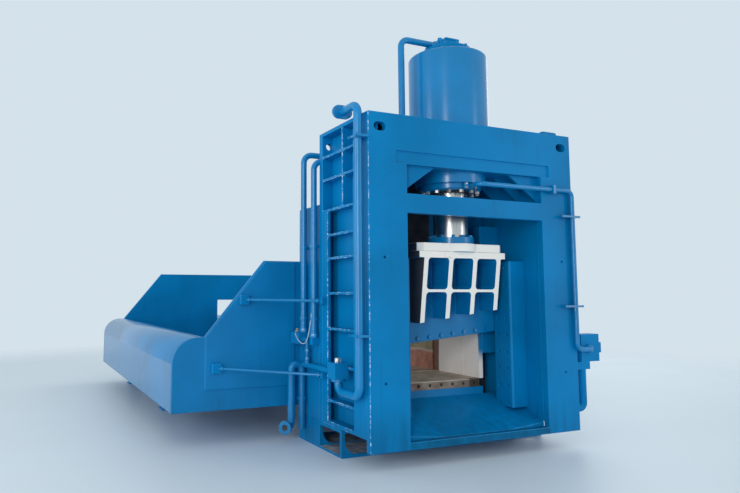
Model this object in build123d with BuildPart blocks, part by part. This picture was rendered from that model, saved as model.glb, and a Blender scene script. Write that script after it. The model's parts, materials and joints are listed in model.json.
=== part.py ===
from build123d import *
import os
from math import cos, radians, sin, tan

# Scrap metal shear with a gantry frame, a raked ram blade, a hold-down, a side-loaded feed box
# and a telescopic pusher. X runs along the blades, Y from the discharge side to the feed side,
# Z up. The origin is the middle of the sole plate, on the floor. Millimetres.

# Clearances
overrun = 20.0
slide_gap = 1.0
blade_gap = 0.5
bore_gap = 0.5
runner_gap = 0.5

# Gantry plates
frame_width = 2650.0
frame_depth = 1130.0
frame_lift = 170.0
front_overhang = 603.0
plate_t = 80.0
window_width = 1760.0
sill_height = 70.0
window_height = 2235.0
crossbar_height = 195.0
upper_window_height = 300.0
head_height = 500.0
recess_width = 2006.0
recess_height = 128.0
recess_depth = 25.0
lift_hole_width = 136.0
lift_hole_height = 90.0
lift_hole_inset = 136.0
lift_hole_drop = 145.0
rear_hole_d = 80.0
rear_hole_inset = 90.0
tap_hole_d = 28.0
tap_hole_inset = 179.0
tap_hole_depth = 60.0
tap_hole_low = 640.0
tap_hole_high = 1853.0

# Base under the gantry
base_depth = 1094.0
base_height = 288.0
sole_t = 25.0
base_top_t = 38.0
base_web_t = 40.0
base_web_land = 6.0
base_post = 40.0
base_gusset_radius = 150.0
anchor_hole_d = 52.0
anchor_inset = 75.0

# Ribbed columns
inner_wall_t = 50.0
web_t = 35.0
web_recess = 125.0
strip_t = 40.0
front_strip_width = 333.0
rear_strip_width = 208.0
upper_strip_width = 288.0
column_floor_t = 40.0
rib_t = 25.0
lower_rib_shares = (0.0805, 0.2005, 0.3205, 0.4405, 0.5605, 0.6413)
upper_rib_shares = (0.729, 0.839, 0.922)
upper_post_share = 0.37

# Top beam that carries the cylinders
top_plate_t = 40.0
beam_plate_t = 60.0
beam_web_t = 40.0
beam_web_x = 640.0
haunch_width = 384.0
haunch_height = 270.0
haunch_t = 30.0
haunch_shares = (0.035, 0.28, 0.62)

# Main cylinder
axis_setback = 490.0
barrel_d = 884.0
barrel_rise = 880.0
barrel_shoulder = 35.0
barrel_head_t = 200.0
bore_d = 570.0
nose_d = 700.0
ring_nut_d = 790.0
ring_nut_t = 110.0
gland_d = 680.0
gland_t = 70.0
gland_chamfer = 18.0
gland_bolts_count = 14
gland_bolt_pcd = 600.0
gland_bolt_width = 46.0
gland_bolt_head = 28.0
lug_d = 60.0
lug_rise = 40.0
lug_count = 4
lug_start_deg = 45.0
lug_pcd = 640.0

# Prefill valve on the cylinder head and its pipe
prefill_base_d = 540.0
prefill_base_t = 100.0
prefill_width = 262.0
prefill_depth = 130.0
prefill_height = 115.0
prefill_chamfer = 10.0
prefill_plug_d = 56.0
prefill_plug_t = 26.0
prefill_plug_x = 96.0
prefill_bolt_pcd = 470.0
prefill_bolt_width = 40.0
prefill_bolt_head = 26.0
prefill_bolts_count = 11
prefill_pipe_d = 72.0
prefill_pipe_x = 620.0
prefill_pipe_rise = 40.0
prefill_bend = 90.0

# Ram
ram_plate_t = 140.0
ram_plate_width = 1580.0
ram_plate_front = 600.0
ram_bottom = 1174.5
ram_rake_deg = 5.36
ram_flange_bottom = 2050.0
ram_flange_t = 70.0
ram_flange_width = 1140.0
ram_cap_t = 90.0
ram_cap_width = 1126.0
ram_cap_chamfer = 60.0
ram_boss_d = 560.0
rib_pitch = 320.0
ram_rib_t = 58.0
ram_rib_depth_top = 335.0
ram_rib_depth_low = 230.0
ram_rib_bottom = 1422.0
ram_rib_rake_deg = 7.4
ram_rib_count = 4
ram_shelf_height = 1700.0
ram_shelf_t = 32.0
ram_pocket_radius = 38.0
ram_cap_inset = 10.0
ram_travel_down = 550.0
ram_travel_up = 150.0

# Rod between cylinder and ram
rod_d = 384.0
piston_t = 180.0
piston_margin = 60.0
rod_flange_d = 504.0
rod_flange_t = 70.0
rod_bolts_count = 12
rod_bolt_pcd = 446.0
rod_bolt_width = 40.0
rod_bolt_head = 26.0

# Blades
blade_length = 1070.0
lower_blade_t = 70.0
lower_blade_height = 88.0
lower_blade_end = 132.0
blade_hole_d = 38.0
blade_hole_depth = 30.0
blade_hole_pitch = 153.0
blade_holes_count = 6
upper_blade_t = 60.0
upper_blade_height = 110.0
upper_blade_length = 1120.0
upper_bolt_pitch = 156.0
upper_bolts_count = 8
upper_bolt_width = 42.0
upper_bolt_head = 18.0
upper_bolt_rise = 42.0

# Table, chute, guides and cheeks
table_top = 688.0
table_width = 1200.0
table_wall_t = 90.0
chute_rear_height = 520.0
chute_t = 30.0
chute_fold_rear = 644.0
chute_fold_front = 400.0
chute_wing_rear = 20.0
chute_wing_front = 45.0
guide_width = 220.0
guide_setback = 310.0
guide_bottom = 408.0
guide_height = 1627.0
guide_chamfer = 14.0
guide_hole_d = 34.0
guide_hole_depth = 40.0
guide_hole_rows = 9
guide_hole_pitch = 188.0
guide_hole_drop = 16.0
guide_hole_columns = 2
guide_hole_column_pitch = 130.0
cheek_bottom = 978.0
cheek_top = 2470.0
channel_width = 1210.0
channel_height = 852.0
liner_t = 50.0
liner_rear_length = 503.0
liner_top_gap = 10.0

# Housing behind the gantry
housing_height = 2382.0
housing_wall_t = 40.0
tunnel_wall_t = 45.0

# Hold-down
hold_down_width = 1080.0
hold_down_depth = 230.0
hold_down_setback = 60.0
hold_down_bottom = 1330.0
hold_down_height = 420.0
hold_down_wall_t = 50.0
hold_down_pockets = 3
hold_down_travel = 600.0
hold_rod_d = 110.0
hold_rod_x = 430.0
hold_rod_lug_d = 190.0
hold_rod_lug_t = 50.0
hold_barrel_d = 230.0
hold_barrel_drop = 640.0
hold_barrel_rise = 280.0
hold_bore_d = 160.0
hold_gland_t = 80.0
hold_piston_t = 70.0
hold_flange_d = 260.0
hold_flange_t = 40.0

# Feed box
box_length = 6002.0
box_bottom = 376.0
box_wall_t = 25.0
end_wall_t = 40.0
lip_x = 2827.0
lip_radius = 282.0
crest_height = 1186.0
crest_width = 72.0
box_top = 2052.0
box_slant_x = 1774.0
floor_liner_t = 20.0
right_wall_t = 50.0
stiffener_t = 25.0
stiffener_depth = 90.0
stiffeners_count = 7
wall_liner_t = 15.0
wall_liner_height = 800.0
doubler_t = 20.0
doubler_bottom = 607.0
doubler_inset = 12.0
doubler_gap = 66.0
leg_width = 260.0
leg_wall_x = 300.0
leg_lip_x = 2300.0
leg_y_shares = (0.42, 0.92)

# Pusher
pusher_width = 1080.0
pusher_height = 600.0
pusher_length = 550.0
pusher_face_t = 60.0
pusher_wall_t = 40.0
pusher_park = 160.0
pusher_axis_height = 960.0
pusher_rod_d = 200.0
sleeve_wall = 29.0
sleeve_gap = 0.5
sleeve_length = 2250.0
sleeve_step = 30.0
pusher_barrel_wall = 45.0
pusher_barrel_cap_t = 60.0
cradle_rail_width = 80.0
cradle_rail_x = 290.0
cradle_rail_height = 190.0
saddle_t = 60.0
saddle_shares = (0.06, 0.9)
cradle_leg_t = 160.0

# Pipes, clamps and valve blocks on the left side
riser_d = 86.0
riser_stand_off = 75.0
riser_setback = 75.0
riser_bend = 96.0
riser_bottom = 690.0
riser_top_rise = 74.0
riser_top_run = 320.0
riser_flange_width = 222.0
riser_flange_height = 140.0
riser_flange_t = 30.0
clamp_t = 34.0
clamp_wall = 14.0
riser_clamp_shares = (0.329, 0.917)
riser_bar_length = 190.0
riser_bar_height = 24.0
left_valve_y = 520.0
left_valve_bottom = 815.0
left_valve_width = 165.0
left_valve_height = 160.0
left_valve_reach = 155.0
left_valve_flange_d = 150.0
left_valve_flange_t = 26.0
left_valve_plug_d = 80.0
left_valve_plug_t = 46.0
rear_pipe_d = 70.0
rear_pipe_stand_off = 52.0
tall_pipe_y = 320.0
tall_pipe_drop = 170.0
short_pipe_drop = 300.0
short_pipe_bottom = 1185.0
rear_pipe_bend = 100.0
tall_pipe_run = 400.0
short_pipe_run = 240.0
rear_manifold_width = 80.0
rear_manifold_depth = 80.0
rear_valve_bottom = 1098.0
rear_valve_height = 132.0
rear_valve_y = 285.0
rear_valve_length = 217.0
rear_valve_reach = 135.0
rear_fitting_d = 46.0
rear_fitting_rise = 40.0
rear_fitting_share = 0.75
cross_pipe_d = 66.0
cross_pipe_height = 867.0
link_pipe_d = 44.0
link_pipe_y = 196.0
link_pipe_height = 1151.0
link_bend = 46.0
tee_d = 62.0
tee_rise = 56.0
drain_pipe_d = 84.0
drain_top = 867.0
drain_bottom = 190.0
drain_y = 338.0
drain_far_x = 185.0
drain_near_x = 58.0
drain_bend = 58.0
drain_outlet = 130.0
drain_outlet_deg = 40.0
drain_stub_bottom = 150.0
drain_bore_d = 52.0
drain_bore_depth = 60.0
drain_clamp_share = 0.45
rear_clamp_shares = (0.1, 0.66)
drain_flange_d = 150.0
drain_flange_t = 28.0

# Pipe and valve block on the right side
right_pipe_d = 54.0
right_pipe_stand_off = 40.0
right_pipe_inset = 40.0
right_pipe_bottom = 1052.0
right_pipe_bend = 70.0
right_clamp_shares = (0.269, 0.834)
right_pipe_clip_share = 0.78
right_bar_left = 185.0
right_bar_right = 75.0
right_bar_height = 22.0
right_clip_height = 95.0
right_valve_gap = 100.0
right_valve_width = 275.0
right_valve_depth = 160.0
right_valve_height = 305.0
right_valve_setback = 78.0
right_valve_port_share = 0.36
right_valve_step = 30.0
right_valve_step_height = 95.0
right_valve_bottom = 905.0
right_foot_width = 224.0
right_foot_height = 85.0
right_leg_d = 84.0
right_leg_x = 140.0
right_leg_bottom = 395.0
right_leg_bend = 60.0

# Tie rods between feed box and gantry
tie_rod_d = 30.0
tie_bracket_width = 110.0
tie_bracket_t = 60.0
tie_high_x = 2027.0
tie_high_z = 1600.0
tie_low_x = 2345.0
tie_low_z = 845.0
tie_frame_y = 150.0
tie_frame_high_z = 1590.0
tie_frame_low_z = 795.0
tie_foot_width = 70.0

# Places that follow from the sizes
half_width = frame_width / 2
frame_height = sill_height + window_height + crossbar_height + upper_window_height + head_height
base_front = -base_depth / 2
base_rear = base_depth / 2
frame_front = base_front - front_overhang
frame_rear = frame_front + frame_depth
frame_top = frame_lift + frame_height
plate_back = frame_front + plate_t
rear_plate_front = frame_rear - plate_t
half_window = window_width / 2
window_bottom = frame_lift + sill_height
window_top = window_bottom + window_height
upper_bottom = window_top + crossbar_height
upper_top = upper_bottom + upper_window_height
column_top = frame_top - top_plate_t
column_height = column_top - base_height
axis_y = frame_front + axis_setback
beam_top = upper_top + beam_plate_t
barrel_top = frame_top + barrel_rise
ring_nut_bottom = upper_top - ring_nut_t
gland_bottom = ring_nut_bottom - gland_t
ram_front = frame_front + ram_plate_front
cut_y = ram_front + ram_plate_t
table_front = cut_y + blade_gap
ram_flange_top = ram_flange_bottom + ram_flange_t
ram_top = ram_flange_top + ram_cap_t
piston_bottom = ring_nut_bottom + ram_travel_down + piston_margin
half_channel = channel_width / 2
channel_top = table_top + channel_height
housing_top = base_height + housing_height
guide_front = frame_front + guide_setback
guide_back = ram_front - slide_gap
hold_front = cut_y + hold_down_setback
hold_rear = hold_front + hold_down_depth
hold_axis_y = (hold_front + hold_rear) / 2
hold_barrel_bottom = upper_top - hold_barrel_drop
hold_barrel_top = upper_top + hold_barrel_rise
box_front = base_rear
box_rear = box_front + box_length
box_floor = table_top - floor_liner_t
lip_shoulder = crest_height - lip_radius
right_wall_x = half_channel + right_wall_t


def slab(x0, x1, y0, y1, z0, z1, mode=Mode.ADD):
    """Plate between two limits on each axis."""
    with Locations(((x0 + x1) / 2, (y0 + y1) / 2, (z0 + z1) / 2)):
        Box(x1 - x0, y1 - y0, z1 - z0, mode=mode)


def facing_front(y):
    """Sketch plane at depth y, drawn in X and Z, that looks at the discharge side."""
    return Plane.XZ.offset(-y)


def round_pipe(points, bend, diameter):
    """Pipe of straight runs joined by bends."""
    with BuildPart() as tube:
        with BuildLine() as route:
            FilletPolyline(*points, radius=bend)
        with BuildSketch(Plane(origin=route.line @ 0, z_dir=route.line % 0)):
            Circle(diameter / 2)
        sweep()
    return tube


def hex_ring(x, y, z, pcd, count, width, height):
    """Ring of hexagon heads that stand on height z, or hang from it where height is negative."""
    with BuildPart() as ring:
        with BuildSketch(Plane.XY.offset(z)):
            with Locations((x, y)):
                with PolarLocations(pcd / 2, count):
                    RegularPolygon(width / 2, 6, major_radius=False)
        extrude(amount=height)
    return ring


def side_clamp(x, y, level, diameter, reach):
    """Ring round an upright pipe with a bar to the wall that is reach away."""
    with BuildPart() as clamp:
        with BuildSketch(Plane.XY.offset(level)):
            with Locations((x, y)):
                Circle(diameter / 2 + clamp_wall)
            with Locations((x + reach / 2, y)):
                Rectangle(reach, clamp_t)
            with Locations((x, y)):
                Circle(diameter / 2, mode=Mode.SUBTRACT)
        extrude(amount=clamp_t)
    return clamp.part


def save(piece, name):
    """Label a finished piece and write its file."""
    piece.part.label = name
    export_step(piece.part, f"parts/{name}.step")


def save_mirrored(piece, name):
    """Write the piece that stands on the other side of the machine's middle plane."""
    with BuildPart() as other:
        add(mirror(piece.part, about=Plane.YZ))
    save(other, name)


os.makedirs("parts", exist_ok=True)

# Base frame: sole, top plate and webs with arched cut-outs
base_web_height = base_height - base_top_t - sole_t
base_web_mid = frame_rear
with BuildSketch() as base_opening:
    Rectangle(frame_width - 2 * base_post, base_web_height - 2 * base_web_land)
    fillet(base_opening.vertices().sort_by(Axis.Y)[:2], radius=base_gusset_radius)
with BuildPart() as base_frame:
    slab(-half_width, half_width, base_front, base_rear, 0, sole_t)
    slab(-half_width, half_width, base_front, base_rear, base_height - base_top_t, base_height)
    for web_y in (base_front, base_web_mid, base_rear - base_web_t):
        with BuildSketch(facing_front(web_y)):
            with Locations((0, sole_t + base_web_height / 2)):
                Rectangle(frame_width, base_web_height)
                add(base_opening.sketch, mode=Mode.SUBTRACT)
        extrude(amount=-base_web_t)
    for side in (-1, 1):
        edge = side * half_width
        inner = side * (half_width - base_web_t)
        slab(
            min(edge, inner),
            max(edge, inner),
            base_web_mid + base_web_t,
            base_rear - base_web_t,
            sole_t,
            base_height - base_top_t,
        )
    with Locations((0, 0, sole_t)):
        with GridLocations(frame_width - 2 * anchor_inset, base_depth - 2 * anchor_inset, 2, 2):
            Hole(anchor_hole_d / 2, depth=sole_t)
save(base_frame, "base_frame")

# Front plate with the discharge window, the upper window, the lifting holes and a relief for the barrel
with BuildPart() as front_plate:
    with BuildSketch(facing_front(frame_front)):
        with Locations((0, frame_lift + frame_height / 2)):
            Rectangle(frame_width, frame_height)
        with Locations((0, window_bottom + window_height / 2)):
            Rectangle(window_width, window_height, mode=Mode.SUBTRACT)
        with Locations((0, upper_bottom + upper_window_height / 2)):
            Rectangle(window_width, upper_window_height, mode=Mode.SUBTRACT)
        with Locations((0, frame_top - lift_hole_drop)):
            with GridLocations(frame_width - 2 * lift_hole_inset, 0, 2, 1):
                SlotOverall(lift_hole_width, lift_hole_height, mode=Mode.SUBTRACT)
    extrude(amount=-plate_t)
    with BuildSketch(facing_front(frame_front)):
        with Locations((0, upper_top + recess_height / 2)):
            Rectangle(recess_width, recess_height)
    extrude(amount=-recess_depth, mode=Mode.SUBTRACT)
    with BuildSketch(facing_front(frame_front)):
        with Locations((0, frame_lift + tap_hole_low), (0, frame_lift + tap_hole_high)):
            with GridLocations(frame_width - 2 * tap_hole_inset, 0, 2, 1):
                Circle(tap_hole_d / 2)
    extrude(amount=-tap_hole_depth, mode=Mode.SUBTRACT)
    with BuildSketch(Plane.XY.offset(upper_top)):
        with Locations((0, axis_y)):
            Circle(barrel_d / 2 + bore_gap)
    extrude(amount=frame_top - upper_top, mode=Mode.SUBTRACT)
save(front_plate, "front_plate")

# Rear plate with the throat and lifting holes
with BuildPart() as rear_plate:
    with BuildSketch(facing_front(rear_plate_front)):
        with Locations((0, (base_height + frame_top) / 2)):
            Rectangle(frame_width, frame_top - base_height)
        with Locations((0, (base_height + channel_top) / 2)):
            Rectangle(channel_width, channel_top - base_height, mode=Mode.SUBTRACT)
        with Locations((0, frame_top - lift_hole_drop)):
            with GridLocations(frame_width - 2 * rear_hole_inset, 0, 2, 1):
                Circle(rear_hole_d / 2, mode=Mode.SUBTRACT)
    extrude(amount=-plate_t)
save(rear_plate, "rear_plate")

# Columns: inner wall, recessed web, edge strips and a ladder of ribs
web_x = half_width - web_recess
upper_zone = base_height + upper_rib_shares[0] * column_height
bay_front = frame_front + front_strip_width
bay_rear = frame_rear - rear_strip_width
upper_front = frame_front + upper_strip_width
with BuildPart() as left_column:
    slab(-half_window - inner_wall_t, -half_window, plate_back, rear_plate_front, base_height, column_top)
    slab(-web_x, -web_x + web_t, plate_back, rear_plate_front, base_height, column_top)
    slab(-half_width, -half_window - inner_wall_t, plate_back, rear_plate_front, base_height,
         base_height + column_floor_t)
    slab(-half_width, -half_width + strip_t, plate_back, bay_front, base_height, upper_zone)
    slab(-half_width, -half_width + strip_t, plate_back, upper_front, upper_zone, column_top)
    slab(-half_width, -half_width + strip_t, bay_rear, rear_plate_front, base_height, upper_zone)
    for share in lower_rib_shares:
        level = base_height + share * column_height
        slab(-half_width, -web_x, plate_back, rear_plate_front, level - rib_t / 2, level + rib_t / 2)
    for share in upper_rib_shares:
        level = base_height + share * column_height
        slab(-half_width, -web_x, plate_back, rear_plate_front, level - rib_t / 2, level + rib_t / 2)
    post_y = upper_front + upper_post_share * (rear_plate_front - upper_front)
    slab(-half_width, -web_x, post_y - rib_t / 2, post_y + rib_t / 2, upper_zone, column_top)
save(left_column, "left_column")
save_mirrored(left_column, "right_column")

# Top beam: top plate, bored lower plate, webs and haunches
with BuildPart() as top_beam:
    slab(-half_width, half_width, plate_back, rear_plate_front, column_top, frame_top)
    slab(-half_window, half_window, plate_back, rear_plate_front, upper_top, beam_top)
    for side in (-1, 1):
        mid = side * beam_web_x
        slab(mid - beam_web_t / 2, mid + beam_web_t / 2, plate_back, rear_plate_front, beam_top, column_top)
    for share in haunch_shares:
        haunch_y = plate_back + share * (rear_plate_front - plate_back)
        with BuildSketch(facing_front(haunch_y)):
            for side in (-1, 1):
                with BuildLine():
                    Polyline(
                        (side * half_window, upper_top),
                        (side * (half_window - haunch_width), upper_top),
                        (side * half_window, upper_top - haunch_height),
                        close=True,
                    )
                make_face()
        extrude(amount=haunch_t)
    with BuildSketch(Plane.XY.offset(column_top)):
        with Locations((0, axis_y)):
            Circle(barrel_d / 2 + bore_gap)
    extrude(amount=top_plate_t, mode=Mode.SUBTRACT)
    with BuildSketch(Plane.XY.offset(upper_top)):
        with Locations((0, axis_y)):
            Circle(nose_d / 2)
        with Locations((-hold_rod_x, hold_axis_y), (hold_rod_x, hold_axis_y)):
            Circle(hold_barrel_d / 2)
    extrude(amount=beam_plate_t, mode=Mode.SUBTRACT)
save(top_beam, "top_beam")

# Housing behind the gantry, with the tunnel of the feed channel
with BuildPart() as rear_housing:
    for side in (-1, 1):
        edge = side * half_width
        skin = side * (half_width - housing_wall_t)
        slab(min(edge, skin), max(edge, skin), frame_rear, base_rear, base_height, housing_top)
        tunnel = side * half_channel
        tunnel_out = side * (half_channel + tunnel_wall_t)
        slab(min(tunnel, tunnel_out), max(tunnel, tunnel_out), frame_rear, base_rear, base_height,
             channel_top + tunnel_wall_t)
    slab(-half_channel, half_channel, frame_rear, base_rear, channel_top, channel_top + tunnel_wall_t)
    slab(-half_width, half_width, frame_rear, base_rear, housing_top - housing_wall_t, housing_top)
    with BuildSketch(facing_front(base_rear)):
        with Locations((0, (base_height + housing_top) / 2)):
            Rectangle(frame_width, housing_top - base_height)
        with Locations((0, (base_height + channel_top) / 2)):
            Rectangle(channel_width, channel_top - base_height, mode=Mode.SUBTRACT)
    extrude(amount=housing_wall_t)
save(rear_housing, "rear_housing")

# Table under the throat, with a seat for the lower blade
with BuildPart() as lower_table:
    with BuildSketch(Plane.YZ.offset(-table_width / 2)):
        with BuildLine():
            Polyline(
                (table_front, base_height),
                (table_front, table_top - lower_blade_height),
                (table_front + lower_blade_t, table_top - lower_blade_height),
                (table_front + lower_blade_t, table_top),
                (base_rear, table_top),
                (base_rear, base_height),
                close=True,
            )
        make_face()
    extrude(amount=table_width)
    slab(
        -table_width / 2 + table_wall_t,
        table_width / 2 - table_wall_t,
        table_front + lower_blade_t + table_wall_t,
        base_rear - table_wall_t,
        base_height,
        table_top - table_wall_t,
        mode=Mode.SUBTRACT,
    )
save(lower_table, "lower_table")

# Lower blade with its end piece, and the screws that hold it
blade_bottom = table_top - lower_blade_height
blade_mid = table_top - lower_blade_height / 2
blade_split = blade_length / 2 - lower_blade_end
main_blade_mid = (blade_split - blade_length / 2) / 2
hole_places = [
    (main_blade_mid + (step - (blade_holes_count - 1) / 2) * blade_hole_pitch, blade_mid)
    for step in range(blade_holes_count)
]
hole_places.append((blade_length / 2 - lower_blade_end / 2, blade_mid))
with BuildPart() as lower_blade:
    slab(-blade_length / 2, blade_split, table_front, table_front + lower_blade_t, blade_bottom, table_top)
    slab(blade_split + blade_gap, blade_length / 2, table_front, table_front + lower_blade_t,
         blade_bottom, table_top)
    with BuildSketch(facing_front(table_front)):
        with Locations(*hole_places):
            Circle(blade_hole_d / 2)
    extrude(amount=-blade_hole_depth, mode=Mode.SUBTRACT)
save(lower_blade, "lower_blade")
with BuildPart() as lower_blade_bolts:
    with BuildSketch(facing_front(table_front + blade_hole_depth)):
        with Locations(*hole_places):
            RegularPolygon(blade_hole_d / 2 - slide_gap, 6)
    extrude(amount=blade_hole_depth / 2)
save(lower_blade_bolts, "lower_blade_bolts")

# Guide bars beside the ram, with their rows of screw holes
guide_top = guide_bottom + guide_height
with BuildPart() as left_guide:
    slab(-half_window, -half_window + guide_width, guide_front, guide_back, guide_bottom, guide_top)
    chamfer(left_guide.edges().filter_by(Axis.Z).sort_by(Axis.X)[-2:], length=guide_chamfer)
    with BuildSketch(Plane.YZ.offset(-half_window + guide_width)):
        with Locations(((guide_front + guide_back) / 2, (guide_bottom + guide_top) / 2 - guide_hole_drop)):
            with GridLocations(guide_hole_column_pitch, guide_hole_pitch, guide_hole_columns, guide_hole_rows):
                Circle(guide_hole_d / 2)
    extrude(amount=-guide_hole_depth, mode=Mode.SUBTRACT)
save(left_guide, "left_guide")
save_mirrored(left_guide, "right_guide")

# Discharge chute: sloping floor with a folded wing on each side, cut out for the feet of the guides
with BuildPart() as discharge_chute:
    with BuildSketch(Plane.YZ.offset(-half_window)):
        with BuildLine():
            Polyline(
                (plate_back, window_bottom),
                (table_front, chute_rear_height),
                (table_front, chute_rear_height - chute_t),
                (plate_back, window_bottom - chute_t),
                close=True,
            )
        make_face()
    extrude(amount=window_width)
    for side in (-1, 1):
        with BuildSketch(facing_front(plate_back)) as wing_front:
            with BuildLine():
                Polyline(
                    (side * chute_fold_front, window_bottom),
                    (side * half_window, window_bottom + chute_wing_front),
                    (side * half_window, window_bottom - chute_t),
                    close=True,
                )
            make_face()
        with BuildSketch(facing_front(table_front)) as wing_rear:
            with BuildLine():
                Polyline(
                    (side * chute_fold_rear, chute_rear_height),
                    (side * half_window, chute_rear_height + chute_wing_rear),
                    (side * half_window, chute_rear_height - chute_t),
                    close=True,
                )
            make_face()
        loft(sections=[wing_front.sketch, wing_rear.sketch])
    for side in (-1, 1):
        foot_wall = side * half_window
        foot_inner = side * (half_window - guide_width)
        slab(
            min(foot_wall, foot_inner),
            max(foot_wall, foot_inner),
            guide_front,
            guide_back,
            guide_bottom,
            guide_top,
            mode=Mode.SUBTRACT,
        )
save(discharge_chute, "discharge_chute")

# Cheeks behind the ram, and the liners of the throat
with BuildPart() as left_cheek:
    slab(-half_window, -half_channel, cut_y + slide_gap, rear_plate_front, cheek_bottom, cheek_top)
save(left_cheek, "left_cheek")
save_mirrored(left_cheek, "right_cheek")
with BuildPart() as left_throat_liners:
    slab(-half_channel, -half_channel + liner_t, table_front, rear_plate_front - slide_gap, table_top,
         channel_top - liner_top_gap)
    slab(-half_channel, -half_channel + liner_t, rear_plate_front, rear_plate_front + liner_rear_length,
         table_top, channel_top - liner_top_gap)
save(left_throat_liners, "left_throat_liners")
save_mirrored(left_throat_liners, "right_throat_liners")

# Main cylinder: barrel on the beam plate, nose through it
main_axis = Axis((0, axis_y, 0), (0, 0, 1))
axis_plane = Plane((0, axis_y, 0), x_dir=(1, 0, 0), z_dir=(0, -1, 0))
with BuildPart() as main_cylinder:
    with BuildSketch(axis_plane):
        with BuildLine():
            Polyline(
                (bore_d / 2, ring_nut_bottom),
                (nose_d / 2, ring_nut_bottom),
                (nose_d / 2, beam_top),
                (barrel_d / 2, beam_top),
                (barrel_d / 2, barrel_top - barrel_shoulder),
            )
            RadiusArc(
                (barrel_d / 2, barrel_top - barrel_shoulder),
                (barrel_d / 2 - barrel_shoulder, barrel_top),
                -barrel_shoulder,
            )
            Polyline(
                (barrel_d / 2 - barrel_shoulder, barrel_top),
                (0, barrel_top),
                (0, barrel_top - barrel_head_t),
                (bore_d / 2, barrel_top - barrel_head_t),
                (bore_d / 2, ring_nut_bottom),
            )
        make_face()
    revolve(axis=main_axis)
    with BuildSketch(Plane.XY.offset(barrel_top)):
        with Locations((0, axis_y)):
            with PolarLocations(lug_pcd / 2, lug_count, start_angle=lug_start_deg):
                Circle(lug_d / 2)
    extrude(amount=lug_rise)
save(main_cylinder, "main_cylinder")

# Ring nut that clamps the cylinder under the beam
with BuildPart() as cylinder_ring_nut:
    with BuildSketch(Plane.XY.offset(ring_nut_bottom)):
        with Locations((0, axis_y)):
            Circle(ring_nut_d / 2)
            Circle(nose_d / 2, mode=Mode.SUBTRACT)
    extrude(amount=ring_nut_t)
save(cylinder_ring_nut, "cylinder_ring_nut")

# Rod gland and its ring of screws
with BuildPart() as rod_gland:
    with BuildSketch(Plane.XY.offset(gland_bottom)):
        with Locations((0, axis_y)):
            Circle(gland_d / 2)
            Circle(rod_d / 2 + bore_gap, mode=Mode.SUBTRACT)
    extrude(amount=gland_t)
    chamfer(rod_gland.faces().sort_by(Axis.Z)[0].edges(), length=gland_chamfer)
save(rod_gland, "rod_gland")
gland_bolts = hex_ring(
    0, axis_y, gland_bottom, gland_bolt_pcd, gland_bolts_count, gland_bolt_width, -gland_bolt_head
)
save(gland_bolts, "gland_bolts")

# Prefill valve, its screws and the pipe down to the beam
prefill_bottom = barrel_top + prefill_base_t
prefill_top = prefill_bottom + prefill_height
with BuildPart() as prefill_valve:
    with BuildSketch(Plane.XY.offset(barrel_top)):
        with Locations((0, axis_y)):
            Circle(prefill_base_d / 2)
    extrude(amount=prefill_base_t)
    with BuildSketch(Plane.XY.offset(prefill_bottom)):
        with Locations((0, axis_y)):
            Rectangle(prefill_width, prefill_depth)
    extrude(amount=prefill_height)
    chamfer(prefill_valve.faces().sort_by(Axis.Z)[-1].edges(), length=prefill_chamfer)
    with BuildSketch(Plane.XY.offset(prefill_top)):
        with Locations((-prefill_plug_x, axis_y)):
            RegularPolygon(prefill_plug_d / 2, 6)
    extrude(amount=prefill_plug_t)
save(prefill_valve, "prefill_valve")
prefill_bolts = hex_ring(
    0, axis_y, prefill_bottom, prefill_bolt_pcd, prefill_bolts_count, prefill_bolt_width, prefill_bolt_head
)
save(prefill_bolts, "prefill_bolts")
prefill_pipe_z = prefill_bottom + prefill_pipe_rise
prefill_pipe = round_pipe(
    [
        (-prefill_width / 2, axis_y, prefill_pipe_z),
        (-prefill_pipe_x, axis_y, prefill_pipe_z),
        (-prefill_pipe_x, axis_y, frame_top),
    ],
    prefill_bend,
    prefill_pipe_d,
)
save(prefill_pipe, "prefill_pipe")

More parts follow.
